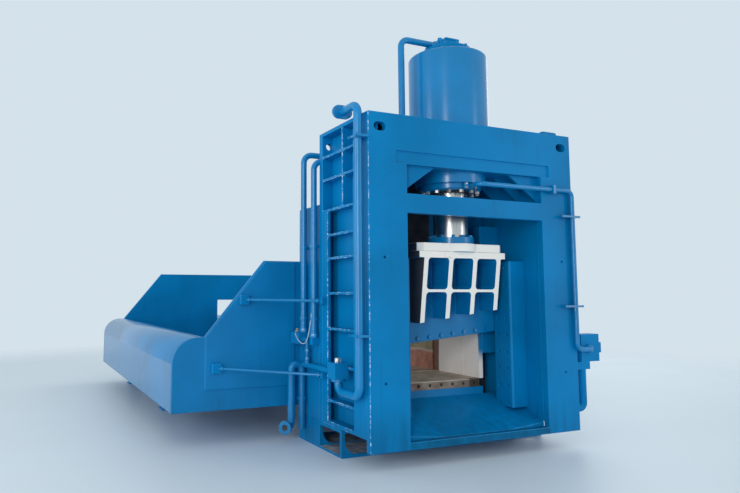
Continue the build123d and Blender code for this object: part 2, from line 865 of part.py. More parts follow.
# Ram: plate with a raked edge, four tapered ribs, shelf, flange and cap
rake = tan(radians(ram_rake_deg))
rib_rake = tan(radians(ram_rib_rake_deg))
half_ram = ram_plate_width / 2
half_ribs = rib_pitch * (ram_rib_count - 1) / 2 + ram_rib_t / 2
pocket_width = rib_pitch - ram_rib_t
cap_front = ram_front - ram_rib_depth_top + ram_cap_inset
seat = upper_blade_length / 2
with BuildPart() as ram_body:
    with BuildSketch(facing_front(ram_front)):
        with BuildLine():
            Polyline(
                (-half_ram, ram_bottom - half_ram * rake),
                (half_ram, ram_bottom + half_ram * rake),
                (half_ram, ram_flange_bottom),
                (-half_ram, ram_flange_bottom),
                close=True,
            )
        make_face()
    extrude(amount=-ram_plate_t)
    with BuildSketch(Plane.YZ.offset(-half_ribs)):
        with BuildLine():
            Polyline(
                (ram_front, ram_flange_bottom),
                (ram_front - ram_rib_depth_top, ram_flange_bottom),
                (ram_front - ram_rib_depth_low, ram_rib_bottom - half_ribs * rib_rake),
                (ram_front, ram_rib_bottom - half_ribs * rib_rake),
                close=True,
            )
        make_face()
    extrude(amount=2 * half_ribs)
    with BuildSketch(facing_front(ram_front)):
        with BuildLine():
            Polyline(
                (-half_ribs, ram_rib_bottom - half_ribs * rib_rake),
                (half_ribs, ram_rib_bottom + half_ribs * rib_rake),
                (half_ribs, ram_rib_bottom - half_ribs * rib_rake),
                close=True,
            )
        make_face()
        with Locations((0, (ram_shelf_height + ram_shelf_t / 2 + ram_flange_bottom) / 2)):
            with GridLocations(rib_pitch, 0, ram_rib_count - 1, 1):
                RectangleRounded(
                    pocket_width,
                    ram_flange_bottom - ram_shelf_height - ram_shelf_t / 2,
                    ram_pocket_radius,
                )
        with Locations((0, (ram_shelf_height - ram_shelf_t / 2 + ram_bottom) / 2)):
            with GridLocations(rib_pitch, 0, ram_rib_count - 1, 1):
                RectangleRounded(
                    pocket_width,
                    ram_shelf_height - ram_shelf_t / 2 - ram_bottom,
                    ram_pocket_radius,
                )
    extrude(amount=ram_rib_depth_top + overrun, mode=Mode.SUBTRACT)
    slab(-ram_flange_width / 2, ram_flange_width / 2, ram_front - ram_rib_depth_top, cut_y,
         ram_flange_bottom, ram_flange_top)
    with BuildSketch(Plane.XY.offset(ram_flange_top)):
        with Locations((0, (cap_front + cut_y) / 2)):
            cap_outline = Rectangle(ram_cap_width, cut_y - cap_front)
        chamfer(cap_outline.vertices().sort_by(Axis.Y)[:2], length=ram_cap_chamfer)
        with Locations((0, axis_y)):
            Circle(ram_boss_d / 2)
    extrude(amount=ram_cap_t)
    with BuildSketch(facing_front(cut_y)):
        with BuildLine():
            Polyline(
                (-seat, ram_bottom - seat * rake - overrun),
                (seat, ram_bottom + seat * rake - overrun),
                (seat, ram_bottom + seat * rake + upper_blade_height),
                (-seat, ram_bottom - seat * rake + upper_blade_height),
                close=True,
            )
        make_face()
    extrude(amount=upper_blade_t, mode=Mode.SUBTRACT)
save(ram_body, "ram_body")

# Upper blade in its seat, and the row of bolts through the ram plate
with BuildPart() as upper_blade:
    with BuildSketch(facing_front(cut_y)):
        with BuildLine():
            Polyline(
                (-seat, ram_bottom - seat * rake),
                (seat, ram_bottom + seat * rake),
                (seat, ram_bottom + seat * rake + upper_blade_height),
                (-seat, ram_bottom - seat * rake + upper_blade_height),
                close=True,
            )
        make_face()
    extrude(amount=upper_blade_t)
save(upper_blade, "upper_blade")
upper_bolt_places = [
    (x, ram_bottom + x * rake + upper_bolt_rise)
    for x in [(step - (upper_bolts_count - 1) / 2) * upper_bolt_pitch for step in range(upper_bolts_count)]
]
with BuildPart() as upper_blade_bolts:
    with BuildSketch(facing_front(ram_front)):
        with Locations(*upper_bolt_places):
            RegularPolygon(upper_bolt_width / 2, 6, major_radius=False)
    extrude(amount=upper_bolt_head)
save(upper_blade_bolts, "upper_blade_bolts")

# Piston rod with its piston, the flange that ties it to the ram, and the flange bolts
with BuildPart() as piston_rod:
    with BuildSketch(axis_plane):
        with BuildLine():
            Polyline(
                (0, ram_top),
                (rod_d / 2, ram_top),
                (rod_d / 2, piston_bottom),
                (bore_d / 2 - bore_gap, piston_bottom),
                (bore_d / 2 - bore_gap, piston_bottom + piston_t),
                (0, piston_bottom + piston_t),
                close=True,
            )
        make_face()
    revolve(axis=main_axis)
save(piston_rod, "piston_rod")
with BuildPart() as rod_flange:
    with BuildSketch(Plane.XY.offset(ram_top)):
        with Locations((0, axis_y)):
            Circle(rod_flange_d / 2)
            Circle(rod_d / 2, mode=Mode.SUBTRACT)
    extrude(amount=rod_flange_t)
save(rod_flange, "rod_flange")
rod_flange_bolts = hex_ring(
    0, axis_y, ram_top + rod_flange_t, rod_bolt_pcd, rod_bolts_count, rod_bolt_width, rod_bolt_head
)
save(rod_flange_bolts, "rod_flange_bolts")

# Hold-down: ribbed head, two rods and their cylinders
half_hold = hold_down_width / 2
hold_top = hold_down_bottom + hold_down_height
with BuildPart() as hold_down_head:
    slab(-half_hold, half_hold, hold_front, hold_rear, hold_down_bottom, hold_top)
    with BuildSketch(facing_front(hold_rear)):
        with Locations((0, (hold_down_bottom + hold_top) / 2)):
            with GridLocations(hold_down_width / hold_down_pockets, 0, hold_down_pockets, 1):
                RectangleRounded(
                    hold_down_width / hold_down_pockets - hold_down_wall_t,
                    hold_down_height - 2 * hold_down_wall_t,
                    hold_down_wall_t / 2,
                )
    extrude(amount=hold_down_depth - hold_down_wall_t, mode=Mode.SUBTRACT)
save(hold_down_head, "hold_down_head")
hold_rod_top = hold_barrel_bottom + hold_gland_t + hold_down_travel + piston_margin
with BuildPart() as hold_down_rods:
    for side in (-1, 1):
        with BuildSketch(Plane((side * hold_rod_x, hold_axis_y, 0), x_dir=(1, 0, 0), z_dir=(0, -1, 0))):
            with BuildLine():
                Polyline(
                    (0, hold_top),
                    (hold_rod_lug_d / 2, hold_top),
                    (hold_rod_lug_d / 2, hold_top + hold_rod_lug_t),
                    (hold_rod_d / 2, hold_top + hold_rod_lug_t),
                    (hold_rod_d / 2, hold_rod_top),
                    (hold_bore_d / 2 - bore_gap, hold_rod_top),
                    (hold_bore_d / 2 - bore_gap, hold_rod_top + hold_piston_t),
                    (0, hold_rod_top + hold_piston_t),
                    close=True,
                )
            make_face()
        revolve(axis=Axis((side * hold_rod_x, hold_axis_y, 0), (0, 0, 1)))
save(hold_down_rods, "hold_down_rods")
hold_bore_top = hold_barrel_top - hold_gland_t
with BuildPart() as hold_down_cylinders:
    for side in (-1, 1):
        with BuildSketch(Plane((side * hold_rod_x, hold_axis_y, 0), x_dir=(1, 0, 0), z_dir=(0, -1, 0))):
            with BuildLine():
                Polyline(
                    (hold_rod_d / 2 + bore_gap, hold_barrel_bottom),
                    (hold_barrel_d / 2, hold_barrel_bottom),
                    (hold_barrel_d / 2, upper_top - hold_flange_t),
                    (hold_flange_d / 2, upper_top - hold_flange_t),
                    (hold_flange_d / 2, upper_top),
                    (hold_barrel_d / 2, upper_top),
                    (hold_barrel_d / 2, hold_barrel_top),
                    (0, hold_barrel_top),
                    (0, hold_bore_top),
                    (hold_bore_d / 2, hold_bore_top),
                    (hold_bore_d / 2, hold_barrel_bottom + hold_gland_t),
                    (hold_rod_d / 2 + bore_gap, hold_barrel_bottom + hold_gland_t),
                    close=True,
                )
            make_face()
        revolve(axis=Axis((side * hold_rod_x, hold_axis_y, 0), (0, 0, 1)))
save(hold_down_cylinders, "hold_down_cylinders")


def box_outline(top_left, top_right):
    """Outline of the feed box seen from the discharge side, closed over two points at its top."""
    with BuildSketch() as outline:
        with BuildLine():
            Polyline((right_wall_x, box_bottom), (-lip_x, box_bottom), (-lip_x, lip_shoulder))
            RadiusArc((-lip_x, lip_shoulder), (-lip_x + lip_radius, crest_height), lip_radius)
            Polyline(
                (-lip_x + lip_radius, crest_height),
                (-lip_x + lip_radius + crest_width, crest_height),
                top_left,
                top_right,
                (right_wall_x, box_bottom),
            )
        make_face()
    return outline.sketch


# Feed box: hollow body with the rounded loading lip, the sloping apron and the channel floor
with BuildPart() as feed_box_body:
    with BuildSketch(facing_front(box_front + end_wall_t)):
        add(box_outline((-half_channel, box_floor), (right_wall_x, box_floor)))
        offset(amount=-box_wall_t, mode=Mode.SUBTRACT)
    extrude(amount=-(box_length - 2 * end_wall_t))
save(feed_box_body, "feed_box_body")


def end_wall(y):
    """End wall of the feed box with the opening of the channel."""
    with BuildPart() as wall:
        with BuildSketch(facing_front(y)):
            add(box_outline((-box_slant_x, box_top), (right_wall_x, box_top)))
            with Locations((0, (table_top + channel_top) / 2)):
                Rectangle(channel_width, channel_height, mode=Mode.SUBTRACT)
        extrude(amount=-end_wall_t)
    return wall


near_wall_base = end_wall(box_front)
with BuildPart() as near_end_wall:
    add(near_wall_base.part)
    with BuildSketch(facing_front(box_front)):
        with BuildLine():
            Polyline(
                (-lip_x + lip_radius + crest_width + doubler_inset, doubler_bottom),
                (-lip_x + lip_radius + crest_width + doubler_inset, crest_height),
                (-box_slant_x + doubler_inset, box_top - doubler_inset),
                (-half_width - doubler_gap, box_top - doubler_inset),
                (-half_width - doubler_gap, doubler_bottom),
                close=True,
            )
        make_face()
    extrude(amount=doubler_t)
save(near_end_wall, "near_end_wall")
far_end_wall = end_wall(box_rear - end_wall_t)
save(far_end_wall, "far_end_wall")

# Right wall of the channel, with stiffeners outside
wall_y0 = box_front + end_wall_t
wall_y1 = box_rear - end_wall_t
with BuildPart() as feed_right_wall:
    slab(half_channel, right_wall_x, wall_y0, wall_y1, box_floor, box_top)
    with BuildSketch(Plane.XY.offset(box_bottom)):
        with Locations((right_wall_x + stiffener_depth / 2, (wall_y0 + wall_y1) / 2)):
            with GridLocations(0, box_length / stiffeners_count, 1, stiffeners_count):
                Rectangle(stiffener_depth, stiffener_t)
    extrude(amount=box_top - box_bottom)
save(feed_right_wall, "feed_right_wall")

# Wear plates of the channel
with BuildPart() as floor_liner:
    slab(-half_channel, half_channel, wall_y0, wall_y1, box_floor, table_top)
save(floor_liner, "floor_liner")
with BuildPart() as wall_liner:
    slab(half_channel - wall_liner_t, half_channel, wall_y0, wall_y1, table_top, table_top + wall_liner_height)
save(wall_liner, "wall_liner")

# Stools under the feed box: a foot plate, a post and a head plate
with BuildPart() as feed_legs:
    leg_places = [
        (leg_x, box_front + share * box_length) for share in leg_y_shares for leg_x in (-leg_lip_x, leg_wall_x)
    ]
    for bottom, thickness, width in (
        (0, sole_t, leg_width),
        (sole_t, box_bottom - 2 * sole_t, leg_width - 2 * sole_t),
        (box_bottom - sole_t, sole_t, leg_width),
    ):
        with BuildSketch(Plane.XY.offset(bottom)):
            with Locations(*leg_places):
                Rectangle(width, width)
        extrude(amount=thickness)
save(feed_legs, "feed_legs")

# Pusher head: a shoe open at the back, on the channel floor
pusher_rear = wall_y1 - pusher_park
pusher_front = pusher_rear - pusher_length
pusher_bottom = table_top + runner_gap
with BuildPart() as pusher_head:
    slab(-pusher_width / 2, pusher_width / 2, pusher_front, pusher_rear, pusher_bottom,
         pusher_bottom + pusher_height)
    slab(
        -pusher_width / 2 + pusher_wall_t,
        pusher_width / 2 - pusher_wall_t,
        pusher_front + pusher_face_t,
        pusher_rear,
        pusher_bottom + pusher_wall_t,
        pusher_bottom + pusher_height - pusher_wall_t,
        mode=Mode.SUBTRACT,
    )
save(pusher_head, "pusher_head")

# Telescopic cylinder of the pusher: rod, two sleeves and the barrel
sleeve_inner_bore = pusher_rod_d / 2 + sleeve_gap
sleeve_inner_r = sleeve_inner_bore + sleeve_wall
sleeve_outer_bore = sleeve_inner_r + sleeve_gap
sleeve_outer_r = sleeve_outer_bore + sleeve_wall
pusher_barrel_bore = sleeve_outer_r + sleeve_gap
pusher_barrel_r = pusher_barrel_bore + pusher_barrel_wall
barrel_front = box_rear + 2 * sleeve_step


def tube_along_feed(front, rear, outer_r, inner_r):
    """Tube along the pusher axis, or a bar where its inner radius is zero."""
    with BuildPart() as tube:
        with BuildSketch(facing_front(front)):
            with Locations((0, pusher_axis_height)):
                Circle(outer_r)
                if inner_r > 0:
                    Circle(inner_r, mode=Mode.SUBTRACT)
        extrude(amount=front - rear)
    return tube


pusher_rod = tube_along_feed(
    pusher_front + pusher_face_t, barrel_front + sleeve_length - 3 * sleeve_step, pusher_rod_d / 2, 0
)
save(pusher_rod, "pusher_rod")
pusher_inner_sleeve = tube_along_feed(
    barrel_front - 2 * sleeve_step, barrel_front + sleeve_length - 2 * sleeve_step, sleeve_inner_r,
    sleeve_inner_bore
)
save(pusher_inner_sleeve, "pusher_inner_sleeve")
pusher_outer_sleeve = tube_along_feed(
    barrel_front - sleeve_step, barrel_front + sleeve_length - sleeve_step, sleeve_outer_r, sleeve_outer_bore
)
save(pusher_outer_sleeve, "pusher_outer_sleeve")
barrel_rear = barrel_front + sleeve_length
with BuildPart() as pusher_cylinder:
    with BuildSketch(facing_front(barrel_front)):
        with Locations((0, pusher_axis_height)):
            Circle(pusher_barrel_r)
            Circle(pusher_barrel_bore, mode=Mode.SUBTRACT)
    extrude(amount=-sleeve_length)
    with BuildSketch(facing_front(barrel_rear)):
        with Locations((0, pusher_axis_height)):
            Circle(pusher_barrel_r)
    extrude(amount=-pusher_barrel_cap_t)
save(pusher_cylinder, "pusher_cylinder")

# Cradle that carries the barrel behind the far wall
cradle_rear = barrel_rear + pusher_barrel_cap_t
cradle_top = box_bottom + cradle_rail_height
with BuildPart() as pusher_cradle:
    for side in (-1, 1):
        rail = side * cradle_rail_x
        slab(rail - cradle_rail_width / 2, rail + cradle_rail_width / 2, box_rear, cradle_rear, box_bottom,
             cradle_top)
        slab(rail - cradle_rail_width / 2, rail + cradle_rail_width / 2, cradle_rear - cradle_leg_t,
             cradle_rear, 0, box_bottom)
    for share in saddle_shares:
        saddle_y = barrel_front + share * sleeve_length
        with BuildSketch(facing_front(saddle_y)):
            with Locations((0, (cradle_top + pusher_axis_height) / 2)):
                Rectangle(2 * cradle_rail_x + cradle_rail_width, pusher_axis_height - cradle_top)
            with Locations((0, pusher_axis_height)):
                Circle(pusher_barrel_r, mode=Mode.SUBTRACT)
        extrude(amount=-saddle_t)
save(pusher_cradle, "pusher_cradle")

# Left riser: pipe with a bend under its valve block and an open flange at the top
riser_x = -half_width - riser_stand_off
riser_y = frame_front + riser_setback
left_valve_mid = frame_front + left_valve_y
left_valve_top = left_valve_bottom + left_valve_height
riser_top = frame_top + riser_top_rise
riser_pipe = round_pipe(
    [
        (riser_x, left_valve_mid, left_valve_bottom - left_valve_flange_t),
        (riser_x, left_valve_mid, riser_bottom),
        (riser_x, riser_y, riser_bottom),
        (riser_x, riser_y, riser_top),
        (riser_x, riser_y + riser_top_run, riser_top),
    ],
    riser_bend,
    riser_d,
)
with BuildPart() as left_riser_pipe:
    add(riser_pipe.part)
    with BuildSketch(Plane.XY.offset(left_valve_bottom - left_valve_flange_t)):
        with Locations((riser_x, left_valve_mid)):
            Circle(left_valve_flange_d / 2)
    extrude(amount=left_valve_flange_t)
    with BuildSketch(facing_front(riser_y + riser_top_run)):
        with Locations((riser_x, riser_top)):
            SlotOverall(riser_flange_width, riser_flange_height)
    extrude(amount=-riser_flange_t)
save(left_riser_pipe, "left_riser_pipe")
with BuildPart() as left_riser_clamps:
    for share in riser_clamp_shares:
        level = frame_lift + share * frame_height
        slab(riser_x - riser_d / 2 - clamp_wall, -half_width, riser_y - riser_bar_length / 2,
             riser_y + riser_bar_length / 2, level, level + riser_bar_height)
    add(riser_pipe.part, mode=Mode.SUBTRACT)
save(left_riser_clamps, "left_riser_clamps")
with BuildPart() as left_valve_block:
    slab(-half_width - left_valve_reach, -half_width, left_valve_mid - left_valve_width / 2,
         left_valve_mid + left_valve_width / 2, left_valve_bottom, left_valve_top)
    with BuildSketch(Plane.XY.offset(left_valve_top)):
        with Locations((riser_x, left_valve_mid)):
            RegularPolygon(left_valve_plug_d / 2, 6)
    extrude(amount=left_valve_plug_t)
save(left_valve_block, "left_valve_block")

# Rear pipes on the left of the housing, their valve block and the drain
rear_pipe_x = -half_width - rear_pipe_stand_off
rear_valve_top = rear_valve_bottom + rear_valve_height
tall_pipe_at = frame_rear + tall_pipe_y
short_pipe_at = frame_rear + rear_pipe_d / 2 + bore_gap
tall_pipe_top = frame_top - tall_pipe_drop
short_pipe_top = frame_top - short_pipe_drop
tall_rear_pipe = round_pipe(
    [
        (rear_pipe_x, tall_pipe_at, rear_valve_top),
        (rear_pipe_x, tall_pipe_at, tall_pipe_top),
        (rear_pipe_x + tall_pipe_run, tall_pipe_at, tall_pipe_top),
        (rear_pipe_x + tall_pipe_run, frame_rear, tall_pipe_top),
    ],
    rear_pipe_bend,
    rear_pipe_d,
)
manifold_x = rear_pipe_x + short_pipe_run
short_rear_pipe = round_pipe(
    [
        (rear_pipe_x, short_pipe_at, short_pipe_bottom),
        (rear_pipe_x, short_pipe_at, short_pipe_top),
        (manifold_x, short_pipe_at, short_pipe_top),
    ],
    rear_pipe_bend,
    rear_pipe_d,
)
rear_valve_at = frame_rear + rear_valve_y
link_pipe = round_pipe(
    [
        (rear_pipe_x, rear_valve_at, link_pipe_height),
        (rear_pipe_x, link_pipe_y, link_pipe_height),
        (rear_pipe_x, link_pipe_y, cross_pipe_height + tee_rise),
    ],
    link_bend,
    link_pipe_d,
)
with BuildPart() as rear_pipes:
    add(tall_rear_pipe.part)
    add(short_rear_pipe.part)
    add(link_pipe.part)
save(rear_pipes, "rear_pipes")
with BuildPart() as rear_manifold:
    slab(manifold_x, manifold_x + rear_manifold_width, frame_rear, frame_rear + rear_manifold_depth,
         short_pipe_top - rear_manifold_width / 2, short_pipe_top + rear_manifold_width / 2)
    slab(rear_pipe_x - rear_manifold_width / 2, -half_width, short_pipe_at - rear_pipe_d / 2,
         short_pipe_at + rear_pipe_d / 2, short_pipe_bottom - rear_manifold_width, short_pipe_bottom)
save(rear_manifold, "rear_manifold")
drain_near = -half_width - drain_near_x
drain_far = -half_width - drain_far_x
with BuildPart() as rear_pipe_clamps:
    for share in rear_clamp_shares:
        level = rear_valve_top + share * (housing_top - rear_valve_top)
        for pipe_y in (tall_pipe_at, short_pipe_at):
            add(side_clamp(rear_pipe_x, pipe_y, level, rear_pipe_d, rear_pipe_stand_off))
    drain_clamp_level = drain_stub_bottom + drain_clamp_share * (drain_top - drain_stub_bottom)
    add(side_clamp(drain_near, drain_y, drain_clamp_level, drain_pipe_d, drain_near_x))
save(rear_pipe_clamps, "rear_pipe_clamps")
with BuildPart() as rear_valve_block:
    slab(-half_width - rear_valve_reach, -half_width, rear_valve_at, rear_valve_at + rear_valve_length,
         rear_valve_bottom, rear_valve_top)
    with BuildSketch(Plane.XY.offset(rear_valve_top)):
        with Locations((-half_width - rear_valve_reach / 2, rear_valve_at + rear_fitting_share * rear_valve_length)):
            RegularPolygon(rear_fitting_d / 2, 6)
    extrude(amount=rear_fitting_rise)
save(rear_valve_block, "rear_valve_block")
with BuildPart() as cross_pipe:
    with BuildSketch(facing_front(left_valve_mid + left_valve_width / 2)):
        with Locations((rear_pipe_x, cross_pipe_height)):
            Circle(cross_pipe_d / 2)
    extrude(amount=left_valve_mid + left_valve_width / 2 - drain_y + drain_pipe_d / 2)
    with BuildSketch(Plane.XY.offset(cross_pipe_height)):
        with Locations((rear_pipe_x, link_pipe_y)):
            Circle(tee_d / 2)
    extrude(amount=tee_rise)
save(cross_pipe, "cross_pipe")
drain_turn = radians(drain_outlet_deg)
drain_heading = Vector(-cos(drain_turn), -sin(drain_turn), 0)
drain_corner = Vector(drain_far, drain_y, drain_bottom)
drain_end = drain_corner + drain_heading * drain_outlet
drain_route = round_pipe(
    [
        (drain_near, drain_y, drain_stub_bottom),
        (drain_near, drain_y, drain_top),
        (drain_far, drain_y, drain_top),
        (drain_far, drain_y, drain_bottom),
        drain_end,
    ],
    drain_bend,
    drain_pipe_d,
)
with BuildPart() as drain_pipe:
    add(drain_route.part)
    with BuildSketch(Plane(origin=drain_end, z_dir=drain_heading)):
        Circle(drain_flange_d / 2)
    extrude(amount=drain_flange_t)
    with BuildSketch(Plane.XY.offset(drain_stub_bottom)):
        with Locations((drain_near, drain_y)):
            Circle(drain_bore_d / 2)
    extrude(amount=drain_bore_depth, mode=Mode.SUBTRACT)
save(drain_pipe, "drain_pipe")

# Right pipe from the gland to the valve block on the right side
right_pipe_x = half_width - right_pipe_inset
right_pipe_y = frame_front - right_pipe_stand_off
right_pipe_z = gland_bottom + gland_t / 2
right_valve_left = half_width + right_valve_gap
right_port_x = right_valve_left + right_valve_port_share * right_valve_width
right_valve_front = right_pipe_y + right_valve_setback
right_pipe = round_pipe(
    [
        (0, axis_y - gland_d / 2, right_pipe_z),
        (0, right_pipe_y, right_pipe_z),
        (right_pipe_x, right_pipe_y, right_pipe_z),
        (right_pipe_x, right_pipe_y, right_pipe_bottom),
        (right_port_x, right_pipe_y, right_pipe_bottom),
        (right_port_x, right_valve_front, right_pipe_bottom),
    ],
    right_pipe_bend,
    right_pipe_d,
)
save(right_pipe, "right_pipe")
with BuildPart() as right_pipe_clamps:
    for share in right_clamp_shares:
        level = right_pipe_bottom + share * (right_pipe_z - right_pipe_bottom)
        slab(right_pipe_x - right_bar_left, right_pipe_x + right_bar_right,
             right_pipe_y - right_pipe_d / 2 - clamp_wall, frame_front, level - right_bar_height / 2,
             level + right_bar_height / 2)
    clip_x = right_pipe_clip_share * right_pipe_x
    slab(clip_x - clamp_t / 2, clip_x + clamp_t / 2, right_pipe_y - right_pipe_d / 2 - clamp_wall, frame_front,
         right_pipe_z - right_clip_height / 2, right_pipe_z + right_clip_height / 2)
    add(right_pipe.part, mode=Mode.SUBTRACT)
save(right_pipe_clamps, "right_pipe_clamps")
right_valve_top = right_valve_bottom + right_valve_height
right_valve_rear = right_valve_front + right_valve_depth
right_leg_y = right_valve_front + right_leg_d / 2
right_leg = round_pipe(
    [
        (half_width + right_leg_x, right_leg_y, right_valve_bottom - right_foot_height),
        (half_width + right_leg_x, right_leg_y, right_leg_bottom),
        (half_width, right_leg_y, right_leg_bottom),
    ],
    right_leg_bend,
    right_leg_d,
)
with BuildPart() as right_valve_block:
    slab(right_valve_left, right_valve_left + right_valve_width, right_valve_front, right_valve_rear,
         right_valve_bottom, right_valve_top)
    slab(right_valve_left + right_valve_width, right_valve_left + right_valve_width + right_valve_step,
         right_valve_front, right_valve_rear, right_valve_bottom + right_valve_step_height,
         right_valve_top - right_valve_step_height)
    slab(half_width, half_width + right_foot_width, right_valve_front, right_valve_rear,
         right_valve_bottom - right_foot_height, right_valve_bottom)
    slab(half_width, right_valve_left, right_valve_rear - right_valve_gap, right_valve_rear,
         right_valve_bottom, right_valve_top - right_valve_gap)
    add(right_leg.part)
save(right_valve_block, "right_valve_block")

# Tie rods from the near end wall to the left column, in brackets
tie_wall_y = box_front - doubler_t
tie_ends = [
    (
        Vector(-tie_high_x, tie_wall_y - tie_bracket_t / 2, tie_high_z),
        Vector(-half_width - tie_bracket_t / 2, frame_rear - tie_frame_y, tie_frame_high_z),
    ),
    (
        Vector(-tie_low_x, tie_wall_y - tie_bracket_t / 2, tie_low_z),
        Vector(-half_width - tie_bracket_t / 2, frame_rear - tie_frame_y, tie_frame_low_z),
    ),
]
with BuildPart() as tie_rods:
    for wall_end, frame_end in tie_ends:
        run = frame_end - wall_end
        with BuildSketch(Plane(origin=wall_end, z_dir=run)):
            Circle(tie_rod_d / 2)
        extrude(amount=run.length)
save(tie_rods, "tie_rods")
with BuildPart() as tie_rod_brackets:
    for wall_end, frame_end in tie_ends:
        slab(wall_end.X - tie_bracket_width / 2, wall_end.X + tie_bracket_width / 2,
             tie_wall_y - tie_bracket_t, tie_wall_y, wall_end.Z - tie_bracket_width / 2,
             wall_end.Z + tie_bracket_width / 2)
        slab(-half_width - tie_bracket_t, -half_width, frame_end.Y - tie_foot_width / 2,
             frame_end.Y + tie_foot_width / 2, frame_end.Z - tie_foot_width / 2,
             frame_end.Z + tie_foot_width / 2)
    add(tie_rods.part, mode=Mode.SUBTRACT)
save(tie_rod_brackets, "tie_rod_brackets")
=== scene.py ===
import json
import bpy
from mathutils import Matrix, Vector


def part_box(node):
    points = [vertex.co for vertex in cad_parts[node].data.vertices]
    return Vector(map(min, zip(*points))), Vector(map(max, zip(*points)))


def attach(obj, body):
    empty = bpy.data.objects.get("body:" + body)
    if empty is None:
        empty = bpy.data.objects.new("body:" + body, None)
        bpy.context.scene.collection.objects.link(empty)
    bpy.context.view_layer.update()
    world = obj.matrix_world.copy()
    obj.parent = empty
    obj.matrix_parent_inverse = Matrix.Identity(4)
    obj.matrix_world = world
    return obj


bl_info = {
    "name": "Scrap Shear Dressing",
    "version": (1, 0, 0),
    "blender": (4, 5, 0),
    "location": "View3D > Sidebar > Shear",
    "description": "Finishes, fittings and stage for a gantry scrap shear",
    "category": "Object",
}

from math import cos, pi, radians, sin, sqrt, tau

import bpy
from mathutils import Matrix, Vector

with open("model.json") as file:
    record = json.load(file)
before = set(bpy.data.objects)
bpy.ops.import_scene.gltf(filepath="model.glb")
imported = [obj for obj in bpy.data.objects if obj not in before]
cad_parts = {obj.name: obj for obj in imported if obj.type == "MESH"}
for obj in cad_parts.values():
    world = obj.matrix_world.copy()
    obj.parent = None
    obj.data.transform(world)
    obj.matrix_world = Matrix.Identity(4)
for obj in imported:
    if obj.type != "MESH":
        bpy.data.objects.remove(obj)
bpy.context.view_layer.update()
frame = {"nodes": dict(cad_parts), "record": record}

PLATE_LOW, PLATE_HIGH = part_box("front_plate")
RAM_LOW, RAM_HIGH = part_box("ram_body")
TABLE_LOW, TABLE_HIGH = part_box("lower_table")
BLADE_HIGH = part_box("lower_blade")[1]
LINER_LOW, LINER_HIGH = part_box("right_throat_liners")
GLAND_LOW, GLAND_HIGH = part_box("rod_gland")
RIGHT_PIPE_LOW, RIGHT_PIPE_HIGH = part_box("right_pipe")
REAR_PIPES_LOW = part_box("rear_pipes")[0]

# Blue plates and blocks with broken edges
ENAMEL_PLATES = (
    "left_column", "right_column", "top_beam", "discharge_chute", "right_guide", "right_cheek",
    "hold_down_head", "far_end_wall", "feed_right_wall", "feed_legs", "pusher_head", "pusher_cradle",
    "rear_manifold", "right_valve_block", "tie_rod_brackets", "prefill_valve",
)
# Plates and blocks with broken edges whose faces have a finish of their own; those of rear_plate, left_guide
# and left_cheek hold painted shade
SPECIAL_PLATES = {
    "feed_box_body": "gloss_enamel", "front_plate": "sill_enamel", "rear_plate": "corner_enamel",
    "base_frame": "sole_enamel", "left_guide": "greasy_enamel", "left_cheek": "greasy_enamel",
    "left_valve_block": "left_plug_enamel", "rear_valve_block": "rear_plug_enamel",
}
# Pieces whose broken edges have the finish of their faces
SAME_EDGED = {
    "ram_body": "ram_enamel", "rear_housing": "tunnel_enamel", "near_end_wall": "tunnel_enamel",
    "lower_table": "table_enamel", "left_throat_liners": "liner_plate", "right_throat_liners": "liner_plate",
}
# Pieces whose edges stay as they are imported
GLOSS_ROUND = (
    "main_cylinder", "cylinder_ring_nut", "rod_gland", "prefill_pipe", "prefill_bolts", "hold_down_cylinders",
    "pusher_cylinder", "left_riser_pipe", "left_riser_clamps", "rear_pipes", "rear_pipe_clamps", "cross_pipe",
    "drain_pipe", "right_pipe", "right_pipe_clamps", "tie_rods", "rod_flange", "rod_flange_bolts",
    "upper_blade_bolts",
)
CHROMED = ("piston_rod", "hold_down_rods", "pusher_rod", "pusher_inner_sleeve", "pusher_outer_sleeve")
PLAIN_FINISH = {
    "floor_liner": "channel_plate", "wall_liner": "channel_wall", "upper_blade": "blade_steel",
    "lower_blade": "lower_steel", "gland_bolts": "screw_steel", "lower_blade_bolts": "rusty_screw",
}
# Broken edges rubbed pale, partly wear and partly a painted highlight, half as wide or kept from crossing,
# and plates whose faces stay divided
WEAR_AND_GLINT_EDGED = ("left_column", "front_plate")
FINE_EDGED = ("base_frame", "top_beam", "left_valve_block", "rear_valve_block")
CLAMPED = ("right_valve_block",)
PIERCED = ("left_column", "right_column", "top_beam", "base_frame", "front_plate", "rear_plate")

# Where wear, dirt, painted shade, painted highlight and pale paint begin or end, in metres; RAM_RIBS counts
# towards the front
SPLASH = (0.05, 0.7)
SOLE_TOP = 0.03
SILL_TOP = PLATE_LOW.z + 0.072
CUT_HALF = TABLE_HIGH.x + 0.28
# Painted shade on the rear plate: near-black low in the throat, and behind the ram's upper left
CORNER_RIGHT = 0.1
CORNER_FOOT = TABLE_HIGH.z + 0.3
CORNER_HEAD = RAM_LOW.z + 0.9
